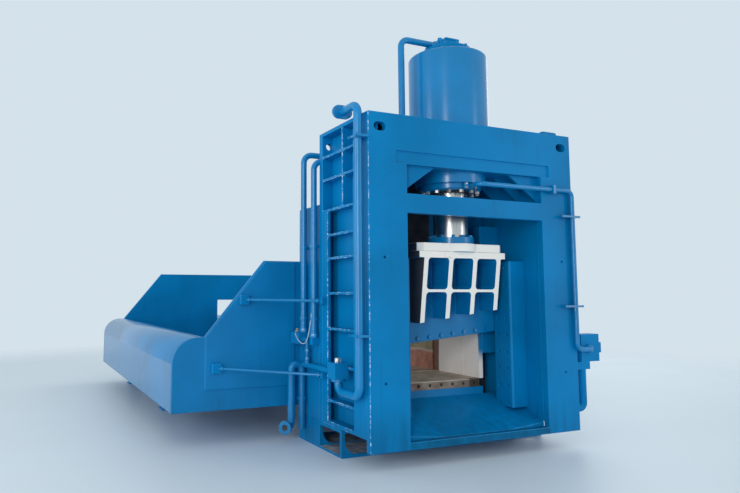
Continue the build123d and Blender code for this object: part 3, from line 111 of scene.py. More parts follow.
# Where the pale edges at the machine's left lie: partly wear, partly a painted highlight
WEAR_GLINT_LEFT = PLATE_LOW.x + 0.03
WEAR_GLINT_FRONT = PLATE_LOW.y + 0.012
WEAR_GLINT_REAR = PLATE_HIGH.y + 0.3
TUNNEL_HALF = TABLE_HIGH.x + 0.015
TUNNEL_TOP = TABLE_HIGH.z + 0.86
TUNNEL_START = TABLE_LOW.y + 0.03
SCRAP_LEVEL = TABLE_HIGH.z + 0.19
RAM_CHEEK = (0.49, 0.505)
RAM_RIBS = (0.24 - RAM_HIGH.y, 0.28 - RAM_HIGH.y)
RAM_SHELF = (RAM_HIGH.z - 0.166, RAM_HIGH.z - 0.162)
LINER_FOOT = (LINER_LOW.z + 0.15, LINER_LOW.z + 0.35)
CUTTING_EDGE = (BLADE_HIGH.z - 0.007, BLADE_HIGH.z - 0.003)
END_PIECE = BLADE_HIGH.x - 0.132
LEFT_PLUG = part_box("left_valve_block")[1].z - 0.045
REAR_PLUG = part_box("rear_valve_block")[1].z - 0.039

# How noise is drawn out: the smaller number, the longer its streaks along X, Y or Z
DOWN_PLATES = (7.0, 7.0, 0.45)
DOWN_CASTING = (2.0, 2.0, 0.6)
DOWN_LINER = (1.0, 3.0, 0.35)
DOWN_ROD = (5.0, 5.0, 0.12)
ALONG_FEED = (9.0, 0.5, 9.0)
ALONG_BLADE = (0.35, 6.0, 9.0)
# From where to where in noise a patch grows
PATCHY = (0.35, 0.7)


class FinishSettings(bpy.types.PropertyGroup):
    """Colours and wear of the machine's finishes"""

    blue: bpy.props.FloatVectorProperty(
        name="Enamel", description="Blue of the machine enamel", subtype="COLOR", size=3,
        default=(0.0, 0.184, 0.437), min=0.0, max=1.0,
    )
    cream: bpy.props.FloatVectorProperty(
        name="Ram front", description="Pale paint on the ram's front edges, flange and cap",
        subtype="COLOR", size=3, default=(0.88, 0.87, 0.82), min=0.0, max=1.0,
    )
    # Also the pale of the rubbed edges at the left, which is partly a painted highlight
    primer: bpy.props.FloatVectorProperty(
        name="Chips", description="Pale primer that shows where the enamel is chipped",
        subtype="COLOR", size=3, default=(0.50, 0.60, 0.68), min=0.0, max=1.0,
    )
    grime: bpy.props.FloatVectorProperty(
        name="Grime", description="Dust and oil in the corners", subtype="COLOR", size=3,
        default=(0.006, 0.05, 0.115), min=0.0, max=1.0,
    )
    rust: bpy.props.FloatVectorProperty(
        name="Rust", description="Rust of the bare plate in the channel", subtype="COLOR", size=3,
        default=(0.20, 0.085, 0.055), min=0.0, max=1.0,
    )
    bare: bpy.props.FloatVectorProperty(
        name="Bare steel", description="Worn steel of blades and channel plates", subtype="COLOR", size=3,
        default=(0.36, 0.30, 0.235), min=0.0, max=1.0,
    )
    film: bpy.props.FloatVectorProperty(
        name="Brown film", description="Oil and dust on plates that scrap does not reach",
        subtype="COLOR", size=3, default=(0.155, 0.125, 0.07), min=0.0, max=1.0,
    )
    liner: bpy.props.FloatVectorProperty(
        name="Liners", description="Pale steel of the throat liners", subtype="COLOR", size=3,
        default=(0.93, 0.88, 0.82), min=0.0, max=1.0,
    )
    brass: bpy.props.FloatVectorProperty(
        name="Brass", description="Yellow metal of plugs and fittings", subtype="COLOR", size=3,
        default=(0.62, 0.43, 0.16), min=0.0, max=1.0,
    )
    edge_round: bpy.props.FloatProperty(
        name="Edge round", description="Width of the broken edge on plates and blocks", unit="LENGTH",
        default=0.006, min=0.001, max=0.02,
    )


class PieceSettings(bpy.types.PropertyGroup):
    """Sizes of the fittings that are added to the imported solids"""

    clamp_screw: bpy.props.FloatProperty(
        name="Clamp screw", description="Width across flats of the clamp screws", unit="LENGTH",
        default=0.022,
    )
    flange_screw: bpy.props.FloatProperty(
        name="Flange screw", description="Width across flats of the pipe flange screws", unit="LENGTH",
        default=0.020,
    )
    tie_nut: bpy.props.FloatProperty(
        name="Tie nut", description="Width across flats of the nuts on the tie rods", unit="LENGTH",
        default=0.048,
    )
    cable: bpy.props.FloatProperty(
        name="Cable", description="Diameter of the sensor cable", unit="LENGTH", default=0.009,
    )
    cable_length: bpy.props.FloatProperty(
        name="Cable length", description="Length of the sensor cable", unit="LENGTH", default=0.83,
    )
    union_margin: bpy.props.FloatProperty(
        name="Union nut", description="How far a union nut stands out from its pipe", unit="LENGTH",
        default=0.014,
    )


class StageSettings(bpy.types.PropertyGroup):
    """Camera, floor and light"""

    eye: bpy.props.FloatVectorProperty(
        name="Eye", description="Where the camera stands", subtype="TRANSLATION", unit="LENGTH", size=3,
        default=(-4.3948, -6.6058, 1.6717),
    )
    yaw: bpy.props.FloatProperty(
        name="Yaw", description="Turn of the camera from +Y towards +X", subtype="ANGLE", default=0.4305,
    )
    pitch: bpy.props.FloatProperty(
        name="Pitch", description="Tilt of the camera above the horizon", subtype="ANGLE", default=0.1025,
    )
    lens: bpy.props.FloatProperty(name="Lens", description="Focal length on a 36 mm sensor", default=31.556)
    shift: bpy.props.FloatVectorProperty(
        name="Shift", description="Lens shift that frames the machine", size=2, default=(0.0733, -0.0268),
    )
    floor: bpy.props.FloatVectorProperty(
        name="Floor", description="Colour of the floor", subtype="COLOR", size=3,
        default=(0.70, 0.81, 0.88), min=0.0, max=1.0,
    )
    backdrop: bpy.props.FloatVectorProperty(
        name="Backdrop", description="Colour behind the machine", subtype="COLOR", size=3,
        default=(0.66, 0.76, 0.83), min=0.0, max=1.0,
    )
    key_power: bpy.props.FloatProperty(
        name="Key light", description="Power of the lamp at the front right", subtype="POWER", default=165.0,
    )
    fill_power: bpy.props.FloatProperty(
        name="Fill light", description="Power of the lamp at the left", subtype="POWER", default=325.0,
    )
    front_power: bpy.props.FloatProperty(
        name="Front light", description="Power of the lamp at the front left", subtype="POWER",
        default=740.0,
    )
    back_power: bpy.props.FloatProperty(
        name="Back light", description="Power of the lamp behind the feed box", subtype="POWER",
        default=330.0,
    )
    sky: bpy.props.FloatProperty(
        name="Sky", description="Strength of the even light from all round", default=0.68,
    )


class Value:
    """A shader socket that stands in Python expressions; each operation adds its node"""

    def __init__(self, shading, socket):
        self.shading = shading
        self.socket = socket

    def math(self, operation, *terms):
        return self.shading.node("ShaderNodeMath", {"operation": operation}, dict(enumerate(terms)))

    def __add__(self, other):
        return self.math("ADD", self, other)

    def __radd__(self, other):
        return self.math("ADD", other, self)

    def __sub__(self, other):
        return self.math("SUBTRACT", self, other)

    def __rsub__(self, other):
        return self.math("SUBTRACT", other, self)

    def __mul__(self, other):
        return self.math("MULTIPLY", self, other)

    def __rmul__(self, other):
        return self.math("MULTIPLY", other, self)

    def __gt__(self, other):
        return self.math("GREATER_THAN", self, other)

    def __lt__(self, other):
        return self.math("LESS_THAN", self, other)

    def __or__(self, other):
        return self.math("MAXIMUM", self, other)

    def __abs__(self):
        return self.math("ABSOLUTE", self)

    def rise(self, low, high):
        """0 below low, 1 above high, and smooth in between."""
        span = {0: self, 1: low, 2: high, 3: 0.0, 4: 1.0}
        return self.shading.node("ShaderNodeMapRange", {"interpolation_type": "SMOOTHSTEP"}, span)


class Shading:
    """Node tree of a material or of the sky, whose nodes all come from one method"""

    def __init__(self, owner):
        owner.use_nodes = True
        self.owner = owner
        self.tree = owner.node_tree
        self.tree.nodes.clear()

    def node(self, kind, settings=None, sockets=None, output=0):
        """Add a node, set it up, fill its sockets with numbers, colours or links, and give one output."""
        added = self.tree.nodes.new(kind)
        for key, value in (settings or {}).items():
            setattr(added, key, value)
        for key, value in (sockets or {}).items():
            if isinstance(value, Value):
                self.tree.links.new(value.socket, added.inputs[key])
            elif hasattr(value, "__len__") and len(value) == 3 and added.inputs[key].type == "RGBA":
                added.inputs[key].default_value = (*value, 1.0)
            else:
                added.inputs[key].default_value = value
        return Value(self, added.outputs[output]) if added.outputs else None


class Finish(Shading):
    """A material, with the point on the surface and its normal at hand"""

    def __init__(self, name):
        super().__init__(bpy.data.materials.new(name))
        self.place = self.node("ShaderNodeTexCoord", output="Object")
        self.x, self.y, self.z = (self.part(self.place, axis) for axis in "XYZ")

    def part(self, vector, axis):
        """One of a vector's three numbers."""
        return self.node("ShaderNodeSeparateXYZ", sockets={"Vector": vector}, output=axis)

    def facing(self, axis):
        """How far the face looks along +X, +Y or +Z, from -1 to 1."""
        return self.part(self.node("ShaderNodeNewGeometry", output="Normal"), axis)

    def noise(self, scale, detail=3.0, roughness=0.55, stretch=None):
        """Noise from 0 to 1 on the surface, drawn out along an axis where stretch says so."""
        vector = self.place
        if stretch:
            vector = self.node("ShaderNodeMapping", sockets={"Vector": self.place, "Scale": stretch})
        return self.node(
            "ShaderNodeTexNoise",
            sockets={"Vector": vector, "Scale": scale, "Detail": detail, "Roughness": roughness},
        )

    def mix(self, share, first, second):
        """Colour that goes from first to second as share goes from 0 to 1."""
        blend = {0: share, 6: first, 7: second}
        return self.node("ShaderNodeMix", {"data_type": "RGBA", "clamp_factor": True}, blend, output=2)

    def bump(self, height, strength, distance):
        """Normal that follows a relief."""
        relief = {"Strength": strength, "Distance": distance, "Height": height}
        return self.node("ShaderNodeBump", sockets=relief, output="Normal")

    def close(self, shader):
        """End the tree with a shader and give the material."""
        self.node("ShaderNodeOutputMaterial", sockets={"Surface": shader})
        return self.owner

    def surface(self, **sockets):
        """End the tree with a Principled shader."""
        named = {key.replace("_", " ").title().replace("Ior", "IOR"): value for key, value in sockets.items()}
        return self.close(self.node("ShaderNodeBsdfPrincipled", sockets=named))


def scaled(colour, factor):
    """A colour made lighter or darker."""
    return tuple(min(1.0, channel * factor) for channel in colour)


def enamel_layers(paint, colours, chipping=0.755, tint=1.0):
    """Colour, roughness and bump height of brushed blue enamel, chipped where noise passes chipping."""
    base = scaled(colours.blue, tint)
    tone = paint.noise(1.1)
    fine = paint.noise(46.0, detail=2.0)
    streak = paint.noise(1.6, detail=4.0, roughness=0.6, stretch=DOWN_PLATES)
    spots = paint.noise(21.0, detail=5.0, roughness=0.68)
    chips = spots.rise(chipping, chipping + 0.02)
    shade = paint.mix(tone.rise(0.3, 0.72), scaled(base, 0.86), scaled(base, 1.14))
    shade = paint.mix(0.16 * fine, shade, scaled(base, 1.5))
    shade = paint.mix(0.22 * streak.rise(0.56, 0.8), shade, colours.grime)
    low = 0.35 * (1.0 - paint.z.rise(*SPLASH)) * streak.rise(0.3, 0.65)
    shade = paint.mix(low, shade, colours.grime)
    shade = paint.mix(chips, shade, colours.primer)
    rough = 0.3 + 0.16 * tone + 0.3 * chips
    height = 0.25 * fine + 0.6 * tone - 0.6 * chips
    return shade, rough, height


def blue_enamel(name, colours, specular, polish):
    """Machine enamel on plates and castings, or polished on pipes and turned pieces."""
    paint = Finish(name)
    shade, rough, height = enamel_layers(paint, colours)
    return paint.surface(
        base_color=shade, roughness=polish * rough, specular_ior_level=specular,
        normal=paint.bump(height, strength=0.16 * polish, distance=0.004),
    )


def dirt_and_shade_enamel(name, colours, dirt_and_shade_share, dirt):
    """Enamel under a second colour where a share drawn on the surface says so: dust on some plates, painted
    shade on others.
    """
    paint = Finish(name)
    shade, rough, height = enamel_layers(paint, colours)
    cover = dirt_and_shade_share(paint)
    patch = paint.noise(7.0, detail=5.0, roughness=0.62).rise(*PATCHY)
    dirt_and_shade_tone = paint.mix(patch, scaled(dirt, 0.6), scaled(dirt, 1.4))
    return paint.surface(
        base_color=paint.mix(cover, shade, dirt_and_shade_tone), roughness=rough + 0.2 * cover, specular_ior_level=0.1,
        normal=paint.bump(height, strength=0.16, distance=0.004),
    )


def edge_enamel(name, colours, wear_and_glint):
    """Thin enamel on broken edges, a little lighter, partly as a painted highlight; at the machine's left
    rubbed to pale primer by a share, partly wear and partly a painted highlight.
    """
    paint = Finish(name)
    shade, rough, height = enamel_layers(paint, colours, chipping=0.72, tint=1.12)
    if wear_and_glint:
        # Wear and painted highlight: pale primer on the left edges, where the light falls
        outer = (paint.y < WEAR_GLINT_FRONT) | (paint.y > WEAR_GLINT_REAR)
        bared_and_glint = paint.noise(30.0, detail=4.0, roughness=0.7).rise(0.5, 0.6) * (paint.x < WEAR_GLINT_LEFT) * outer
        shade = paint.mix(wear_and_glint * bared_and_glint, shade, scaled(colours.primer, 1.4))
    return paint.surface(
        base_color=shade, roughness=0.85 * rough, specular_ior_level=0.2,
        normal=paint.bump(height, strength=0.2, distance=0.003),
    )


def ram_enamel(name, colours):
    """Blue casting with pale front edges, flange and cap; its side faces at the cheeks are near-black, partly
    oil and partly painted shade.
    """
    paint = Finish(name)
    front = (0.0 - paint.facing("Y")).rise(0.55, 0.65) * (0.0 - paint.y).rise(*RAM_RIBS)
    ragged = 0.012 * (paint.noise(18.0) - 0.5)
    head = (paint.z + ragged).rise(*RAM_SHELF) * paint.facing("Z").rise(0.5, 0.7)
    pale = front | head
    blue, rough, height = enamel_layers(paint, colours, chipping=0.74)
    # Oil and painted shade: the side faces at the cheeks are made near-black
    oil_and_shade = abs(paint.facing("X")).rise(0.8, 0.9) * abs(paint.x).rise(*RAM_CHEEK)
    blue = paint.mix(0.92 * oil_and_shade, blue, (0.06, 0.055, 0.056))
    stain = paint.noise(6.0, detail=5.0, roughness=0.65, stretch=DOWN_CASTING).rise(0.58, 0.78)
    cream = paint.mix(0.3 * stain, colours.cream, scaled(colours.rust, 2.6))
    shade = paint.mix(pale, blue, cream)
    return paint.surface(
        base_color=shade, roughness=rough + 0.14 * pale, specular_ior_level=0.25, coat_weight=0.05,
        coat_roughness=0.2, normal=paint.bump(height, strength=0.18, distance=0.004),
    )


def plugged_enamel(name, colours, level, plating):
    """Enamel block whose plug above a level is bare metal."""
    paint = Finish(name)
    shade, rough, height = enamel_layers(paint, colours)
    plug = paint.z > level
    tarnish = paint.noise(26.0, detail=4.0, roughness=0.6)
    metal = paint.mix(tarnish.rise(0.4, 0.7), scaled(plating, 1.25), scaled(plating, 0.5))
    return paint.surface(
        base_color=paint.mix(plug, shade, metal), metallic=0.75 * plug, roughness=rough,
        specular_ior_level=0.3, normal=paint.bump(height, strength=0.16, distance=0.003),
    )


def tunnel_enamel(name, colours, dark, light):
    """Enamel outside, worn plate inside the feed tunnel."""
    paint = Finish(name)
    shade, rough, height = enamel_layers(paint, colours)
    inside = (abs(paint.x) < TUNNEL_HALF) * (paint.z < TUNNEL_TOP) * (paint.y > TUNNEL_START)
    patch = paint.noise(5.0, detail=6.0, roughness=0.65).rise(0.36, 0.66)
    shade = paint.mix(inside, shade, paint.mix(patch, dark, light))
    return paint.surface(
        base_color=shade, roughness=rough + 0.25 * inside, specular_ior_level=0.25,
        normal=paint.bump(height, strength=0.18, distance=0.004),
    )


def channel_plate(name, colours):
    """Bare plate polished by scrap, with rust between the scores."""
    plate = Finish(name)
    patch = plate.noise(4.5, detail=6.0, roughness=0.66)
    score = plate.noise(9.0, detail=3.0, roughness=0.6, stretch=ALONG_FEED)
    rust = patch.rise(0.4, 0.68)
    tone = plate.mix(score.rise(*PATCHY), scaled(colours.bare, 0.85), scaled(colours.bare, 1.2))
    grain = plate.mix(plate.noise(22.0, detail=4.0), scaled(colours.rust, 0.7), scaled(colours.rust, 1.9))
    return plate.surface(
        base_color=plate.mix(rust, tone, grain), metallic=0.12 - 0.1 * rust, roughness=0.5 + 0.3 * rust,
        normal=plate.bump(0.6 * score + 0.5 * patch, strength=0.25, distance=0.004),
    )


def channel_wall(name, colours):
    """Channel wall with red rust up to the level of the scrap and a brown film above a scraped line."""
    plate = Finish(name)
    patch = plate.noise(6.0, detail=6.0, roughness=0.66)
    level = plate.z - 0.09 * plate.noise(1.4, detail=3.0)
    line = SCRAP_LEVEL
    low = plate.mix(patch.rise(*PATCHY), scaled(colours.rust, 1.8), scaled(colours.rust, 3.2))
    high = plate.mix(patch.rise(*PATCHY), scaled(colours.film, 2.3), scaled(colours.film, 1.5))
    shade = plate.mix(level.rise(line - 0.006, line + 0.006), low, high)
    scraped = level.rise(line - 0.03, line - 0.01) * (1.0 - level.rise(line, line + 0.02))
    return plate.surface(
        base_color=plate.mix(0.7 * scraped, shade, scaled(colours.bare, 1.6)), roughness=0.6 + 0.25 * patch,
        normal=plate.bump(patch, strength=0.2, distance=0.004),
    )


def liner_plate(name, colours):
    """Pale throat liner with faint scores, stains and smears of blue at its ends."""
    plate = Finish(name)
    length = LINER_HIGH.y - LINER_LOW.y
    patch = plate.noise(4.5, detail=6.0, roughness=0.66)
    score = plate.noise(9.0, detail=3.0, roughness=0.6, stretch=ALONG_FEED)
    tone = plate.mix(0.5 * score, colours.liner, scaled(colours.liner, 0.82))
    tone = plate.mix(0.5 * patch.rise(0.58, 0.8), tone, scaled(colours.rust, 2.4))
    ends = abs(plate.y - (LINER_LOW.y + LINER_HIGH.y) / 2).rise(0.42 * length, 0.5 * length)
    drip = plate.noise(8.0, detail=4.0, roughness=0.6, stretch=DOWN_LINER)
    smear = (ends * drip).rise(0.33, 0.5) * plate.z.rise(*LINER_FOOT)
    return plate.surface(
        base_color=plate.mix(smear, tone, colours.blue), roughness=0.45 + 0.2 * patch,
        specular_ior_level=0.35, normal=plate.bump(0.6 * score + 0.5 * patch, strength=0.08, distance=0.003),
    )


def blade_steel(name, colours):
    """Ground blade with grinding marks along its length and a brown bloom."""
    steel = Finish(name)
    lay = steel.noise(14.0, detail=4.0, roughness=0.6, stretch=ALONG_BLADE)
    bloom = steel.noise(5.0, detail=5.0, roughness=0.62).rise(0.36, 0.7)
    brown = steel.mix(0.6, scaled(colours.bare, 0.6), colours.rust)
    shade = steel.mix(bloom, scaled(colours.bare, 0.95), brown)
    return steel.surface(
        base_color=shade, metallic=0.6 - 0.35 * bloom, roughness=0.36 + 0.25 * bloom,
        normal=steel.bump(lay, strength=0.18, distance=0.002),
    )


def lower_steel(name, colours):
    """Lower blade: tan steel with a bright cutting edge, and a dark end piece."""
    steel = Finish(name)
    lay = steel.noise(14.0, detail=4.0, roughness=0.6, stretch=ALONG_BLADE)
    bloom = steel.noise(5.0, detail=5.0, roughness=0.62).rise(0.36, 0.7)
    brown = steel.mix(0.5, scaled(colours.bare, 0.4), colours.rust)
    shade = steel.mix(bloom, scaled(colours.bare, 0.7), brown)
    edge = (steel.z + 0.004 * lay).rise(*CUTTING_EDGE)
    shade = steel.mix(0.75 * edge, shade, scaled(colours.bare, 2.0))
    shade = steel.mix(0.85 * (steel.x > END_PIECE), shade, scaled(colours.film, 0.3))
    return steel.surface(
        base_color=shade, metallic=0.45 - 0.35 * bloom, roughness=0.4 + 0.25 * bloom,
        normal=steel.bump(lay, strength=0.18, distance=0.002),
    )


def chrome(name):
    """Ground and plated rod with faint wear lines along the stroke."""
    plating = Finish(name)
    wear = plating.noise(30.0, detail=3.0, roughness=0.6, stretch=DOWN_ROD)
    haze = plating.noise(2.0, detail=3.0)
    shade = plating.mix(wear.rise(0.45, 0.75), (0.60, 0.59, 0.57), (0.40, 0.38, 0.35))
    return plating.surface(
        base_color=shade, metallic=1.0, roughness=0.2 + 0.1 * haze,
        normal=plating.bump(wear, strength=0.04, distance=0.001),
    )


def screw_steel(name, bright, dull, metallic):
    """Steel heads, dulled by handling or rusted."""
    steel = Finish(name)
    patch = steel.noise(16.0, detail=4.0, roughness=0.6)
    return steel.surface(
        base_color=steel.mix(patch.rise(*PATCHY), bright, dull), metallic=metallic,
        roughness=0.3 + 0.3 * patch, normal=steel.bump(patch, strength=0.15, distance=0.001),
    )


def seal_rubber(name):
    """Dark, dusty rubber of the wiper lips, and the shade in the open bores."""
    rubber = Finish(name)
    dust = rubber.noise(30.0, detail=4.0)
    shade = rubber.mix(dust.rise(0.45, 0.8), (0.012, 0.014, 0.018), (0.05, 0.05, 0.052))
    relief = rubber.bump(dust, strength=0.2, distance=0.001)
    return rubber.surface(base_color=shade, roughness=0.45 + 0.2 * dust, normal=relief)


def cable_jacket(name):
    """Pale plastic jacket with a little dirt."""
    jacket = Finish(name)
    dirt = jacket.noise(12.0, detail=4.0)
    shade = jacket.mix(dirt.rise(0.45, 0.8), (0.50, 0.62, 0.72), (0.22, 0.34, 0.46))
    relief = jacket.bump(dirt, strength=0.1, distance=0.001)
    return jacket.surface(base_color=shade, roughness=0.4 + 0.2 * dirt, normal=relief)


def finish_material(name):
    """A finish by name, made when it is first asked for."""
    if name in bpy.data.materials:
        return bpy.data.materials[name]
    colours = bpy.context.scene.shear_finish
    makers = {
        "blue_enamel": lambda: blue_enamel(name, colours, 0.08, 1.0),
        "gloss_enamel": lambda: blue_enamel(name, colours, 0.45, 0.55),
        # Darker blue band along the sill, across the width of the cut
        "sill_enamel": lambda: dirt_and_shade_enamel(
            name, colours,
            lambda paint: 0.5 * (paint.z < SILL_TOP) * (abs(paint.x) < CUT_HALF),
            (0.0, 0.07, 0.13),
        ),
        # Painted shade: near-black brown on the rear plate where shade falls in the throat
        "corner_enamel": lambda: dirt_and_shade_enamel(
            name, colours,
            lambda paint: 0.9 * (paint.facing("Y") < 0.5) * (abs(paint.x) < CUT_HALF) * (
                (paint.z < CORNER_FOOT) | ((paint.x < CORNER_RIGHT) * (paint.z > CORNER_HEAD))
            ),
            (0.052, 0.042, 0.038),
        ),
        "sole_enamel": lambda: dirt_and_shade_enamel(
            name, colours,
            lambda paint: 0.9 * (paint.z < SOLE_TOP) * (paint.facing("Z") > 0.5),
            (0.30, 0.31, 0.32),
        ),
        # Painted shade: the left guide and cheek, which lie in shade, are near-black almost all over
        "greasy_enamel": lambda: dirt_and_shade_enamel(
            name, colours, lambda paint: 0.82 + 0.18 * paint.noise(3.0), (0.055, 0.05, 0.048)
        ),
        "edge_enamel": lambda: edge_enamel(name, colours, 0.0),
        # Edges rubbed pale at the left, partly wear and partly a painted highlight
        "rubbed_edge": lambda: edge_enamel(name, colours, 0.75),
        "ram_enamel": lambda: ram_enamel(name, colours),
        "left_plug_enamel": lambda: plugged_enamel(name, colours, LEFT_PLUG, (0.66, 0.63, 0.56)),
        "rear_plug_enamel": lambda: plugged_enamel(name, colours, REAR_PLUG, colours.brass),
        "tunnel_enamel": lambda: tunnel_enamel(
            name, colours, scaled(colours.rust, 1.4), scaled(colours.film, 1.5)
        ),
        "table_enamel": lambda: tunnel_enamel(
            name, colours, scaled(colours.bare, 0.9), scaled(colours.bare, 1.7)
        ),
        "liner_plate": lambda: liner_plate(name, colours),
        "channel_plate": lambda: channel_plate(name, colours),
        "channel_wall": lambda: channel_wall(name, colours),
        "blade_steel": lambda: blade_steel(name, colours),
        "chrome": lambda: chrome(name),
        "lower_steel": lambda: lower_steel(name, colours),
        "screw_steel": lambda: screw_steel(name, (0.60, 0.60, 0.58), (0.27, 0.24, 0.20), 0.85),
        "rusty_screw": lambda: screw_steel(name, (0.075, 0.03, 0.024), (0.03, 0.02, 0.018), 0.2),
        "seal_rubber": lambda: seal_rubber(name),
        "cable_jacket": lambda: cable_jacket(name),
    }
    return makers[name]()


def dress(node, *finishes):
    """Give a CAD node its finishes."""
    materials = frame["nodes"][node].data.materials
    materials.clear()
    for finish in finishes:
        materials.append(finish_material(finish))


def break_edges(node, width):
    """Broken edges on a CAD node, in the second of its finishes."""
    solid = frame["nodes"][node]
    weld = solid.modifiers.new("Join corners", "WELD")
    weld.merge_threshold = 0.00002
    if node not in PIERCED:
        flat = solid.modifiers.new("Whole faces", "DECIMATE")
        flat.decimate_type = "DISSOLVE"
        flat.angle_limit = radians(0.5)
    edge = solid.modifiers.new("Broken edges", "BEVEL")
    edge.width = 0.5 * width if node in FINE_EDGED else width
    edge.segments = 2
    edge.limit_method = "ANGLE"
    edge.angle_limit = radians(40.0)
    edge.use_clamp_overlap = node in CLAMPED
    edge.loop_slide = False
    edge.material = 1


class SHEAR_OT_finishes(bpy.types.Operator):
    """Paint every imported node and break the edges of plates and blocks"""

    bl_idname = "shear.finishes"
    bl_label = "Finishes"

    def execute(self, context):
        width = context.scene.shear_finish.edge_round
        plates = {**dict.fromkeys(ENAMEL_PLATES, "blue_enamel"), **SPECIAL_PLATES}
        for node, finish in plates.items():
            dress(node, finish, "rubbed_edge" if node in WEAR_AND_GLINT_EDGED else "edge_enamel")
            break_edges(node, width)
        for node, finish in SAME_EDGED.items():
            dress(node, finish, finish)
            break_edges(node, width)
        rounds = {**dict.fromkeys(GLOSS_ROUND, "gloss_enamel"), **dict.fromkeys(CHROMED, "chrome")}
        for node, finish in {**rounds, **PLAIN_FINISH}.items():
            dress(node, finish)
        return {"FINISHED"}


def select_only(piece):
    bpy.ops.object.select_all(action="DESELECT")
    piece.select_set(True)
    bpy.context.view_layer.objects.active = piece


def keep_place(piece):
    """Put a piece's place, turn and scale into its mesh."""
    select_only(piece)
    bpy.ops.object.transform_apply(location=True, rotation=True, scale=True)


def select_faces(piece, wanted):
    """In edit mode, select the faces whose centre and normal pass the test."""
    bpy.ops.mesh.select_mode(type="FACE")
    bpy.ops.mesh.select_all(action="DESELECT")
    bpy.ops.object.mode_set(mode="OBJECT")
    for face in piece.data.polygons:
        face.select = wanted(face.center, face.normal)
    bpy.ops.object.mode_set(mode="EDIT")


def close_piece(piece, name, body, finish):
    """Name a finished piece, give it its finish and let it ride on its body."""
    keep_place(piece)
    bpy.ops.object.shade_smooth_by_angle(angle=radians(32.0))
    piece.name = name
    piece.data.name = name
    piece.data.materials.clear()
    piece.data.materials.append(finish_material(finish))
    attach(piece, body)


def join(pieces):
    """One piece from several."""
    bpy.ops.object.select_all(action="DESELECT")
    for piece in pieces:
        piece.select_set(True)
    bpy.context.view_layer.objects.active = pieces[0]
    if len(pieces) > 1:
        bpy.ops.object.join()
    return bpy.context.object


def step_top(piece, *steps):
    """Inset the top face, and raise or sink what is inside, once for each width and rise."""
    bpy.ops.object.mode_set(mode="EDIT")
    select_faces(piece, lambda centre, normal: normal.z > 0.9)
    for width, rise in steps:
        bpy.ops.mesh.inset(thickness=width)
        bpy.ops.transform.translate(value=(0, 0, rise))
    bpy.ops.object.mode_set(mode="OBJECT")


def round_edges(width, segments):
    """Bevel every edge of the active piece."""
    bpy.ops.object.mode_set(mode="EDIT")
    bpy.ops.mesh.select_all(action="SELECT")
    bpy.ops.mesh.bevel(offset=width, segments=segments, affect="EDGES")
    bpy.ops.object.mode_set(mode="OBJECT")


def hex_head(across, height):
    """Hexagon head with a chamfered crown on a washer, standing on the origin along +Z."""
    bpy.ops.object.select_all(action="DESELECT")
    bpy.ops.mesh.primitive_cylinder_add(
        vertices=24, radius=0.62 * across, depth=0.16 * height, location=(0, 0, 0.08 * height)
    )
    washer = bpy.context.object
    bpy.ops.mesh.primitive_cylinder_add(
        vertices=6, radius=across / sqrt(3), depth=0.84 * height, location=(0, 0, 0.58 * height)
    )
    head = bpy.context.object
    keep_place(head)
    step_top(head, (0.05 * across, 0.1 * height), (0.16 * across, -0.03 * height))
    keep_place(join([head, washer]))
    return head


def union_nut(inner, margin, length):
    """Hexagon union nut with a collar at its upper end, along +Z from the origin, to slip over a pipe."""
    bpy.ops.object.select_all(action="DESELECT")
    bpy.ops.mesh.primitive_cylinder_add(
        vertices=6, radius=(inner + margin) * 2 / sqrt(3), depth=0.62 * length, location=(0, 0, 0.31 * length)
    )
    nut = bpy.context.object
    keep_place(nut)
    round_edges(0.12 * margin, 2)
    bpy.ops.mesh.primitive_cylinder_add(
        vertices=32, radius=inner + 0.55 * margin, depth=0.4 * length, location=(0, 0, 0.8 * length)
    )
    collar = bpy.context.object
    keep_place(collar)
    step_top(collar, (0.3 * margin, 0.06 * length))
    keep_place(join([nut, collar]))
    return nut


def at(point, direction, turn=0.0):
    """Place of a copy: where it stands, where it points and how it is turned about that line."""
    return Vector(point), Vector(direction), turn


def copies(model, places):
    """Copies of a model, each with its own mesh, joined to one piece."""
    made = []
    for point, direction, turn in places:
        select_only(model)
        bpy.ops.object.duplicate(linked=False)
        copy = bpy.context.object
        lie = direction.to_track_quat("Z", "Y").to_matrix().to_4x4()
        copy.matrix_world = Matrix.Translation(point) @ lie @ Matrix.Rotation(turn, 4, "Z")
        keep_place(copy)
        made.append(copy)
    select_only(model)
    bpy.ops.object.delete()
    return join(made)


def ring_places(centre, axis, radius, count, start):
    """Places on a circle about an axis."""
    lie = axis.to_track_quat("Z", "Y")
    places = []
    for step in range(count):
        angle = start + tau * step / count
        spoke = lie @ Vector((radius * cos(angle), radius * sin(angle), 0.0))
        places.append(at(centre + spoke, axis, angle))
    return places


def block(low, high, rounding):
    """Block between two corners with rounded edges."""
    bpy.ops.object.select_all(action="DESELECT")
    bpy.ops.mesh.primitive_cube_add(size=1.0, location=(Vector(low) + Vector(high)) / 2)
    made = bpy.context.object
    made.scale = Vector(high) - Vector(low)
    keep_place(made)
    round_edges(rounding, 3)
    return made


def ring(centre, inner, thickness):
    """Lip about an upright rod, with its lower rim drawn down."""
    bpy.ops.object.select_all(action="DESELECT")
    bpy.ops.mesh.primitive_torus_add(
        location=centre, major_radius=inner + thickness, minor_radius=thickness,
        major_segments=64, minor_segments=12,
    )
    lip = bpy.context.object
    keep_place(lip)
    bpy.ops.object.mode_set(mode="EDIT")
    select_faces(lip, lambda middle, normal: normal.z < -0.85)
    bpy.ops.mesh.extrude_region_move(TRANSFORM_OT_translate={"value": (0, 0, -0.4 * thickness)})
    bpy.ops.object.mode_set(mode="OBJECT")
    return lip


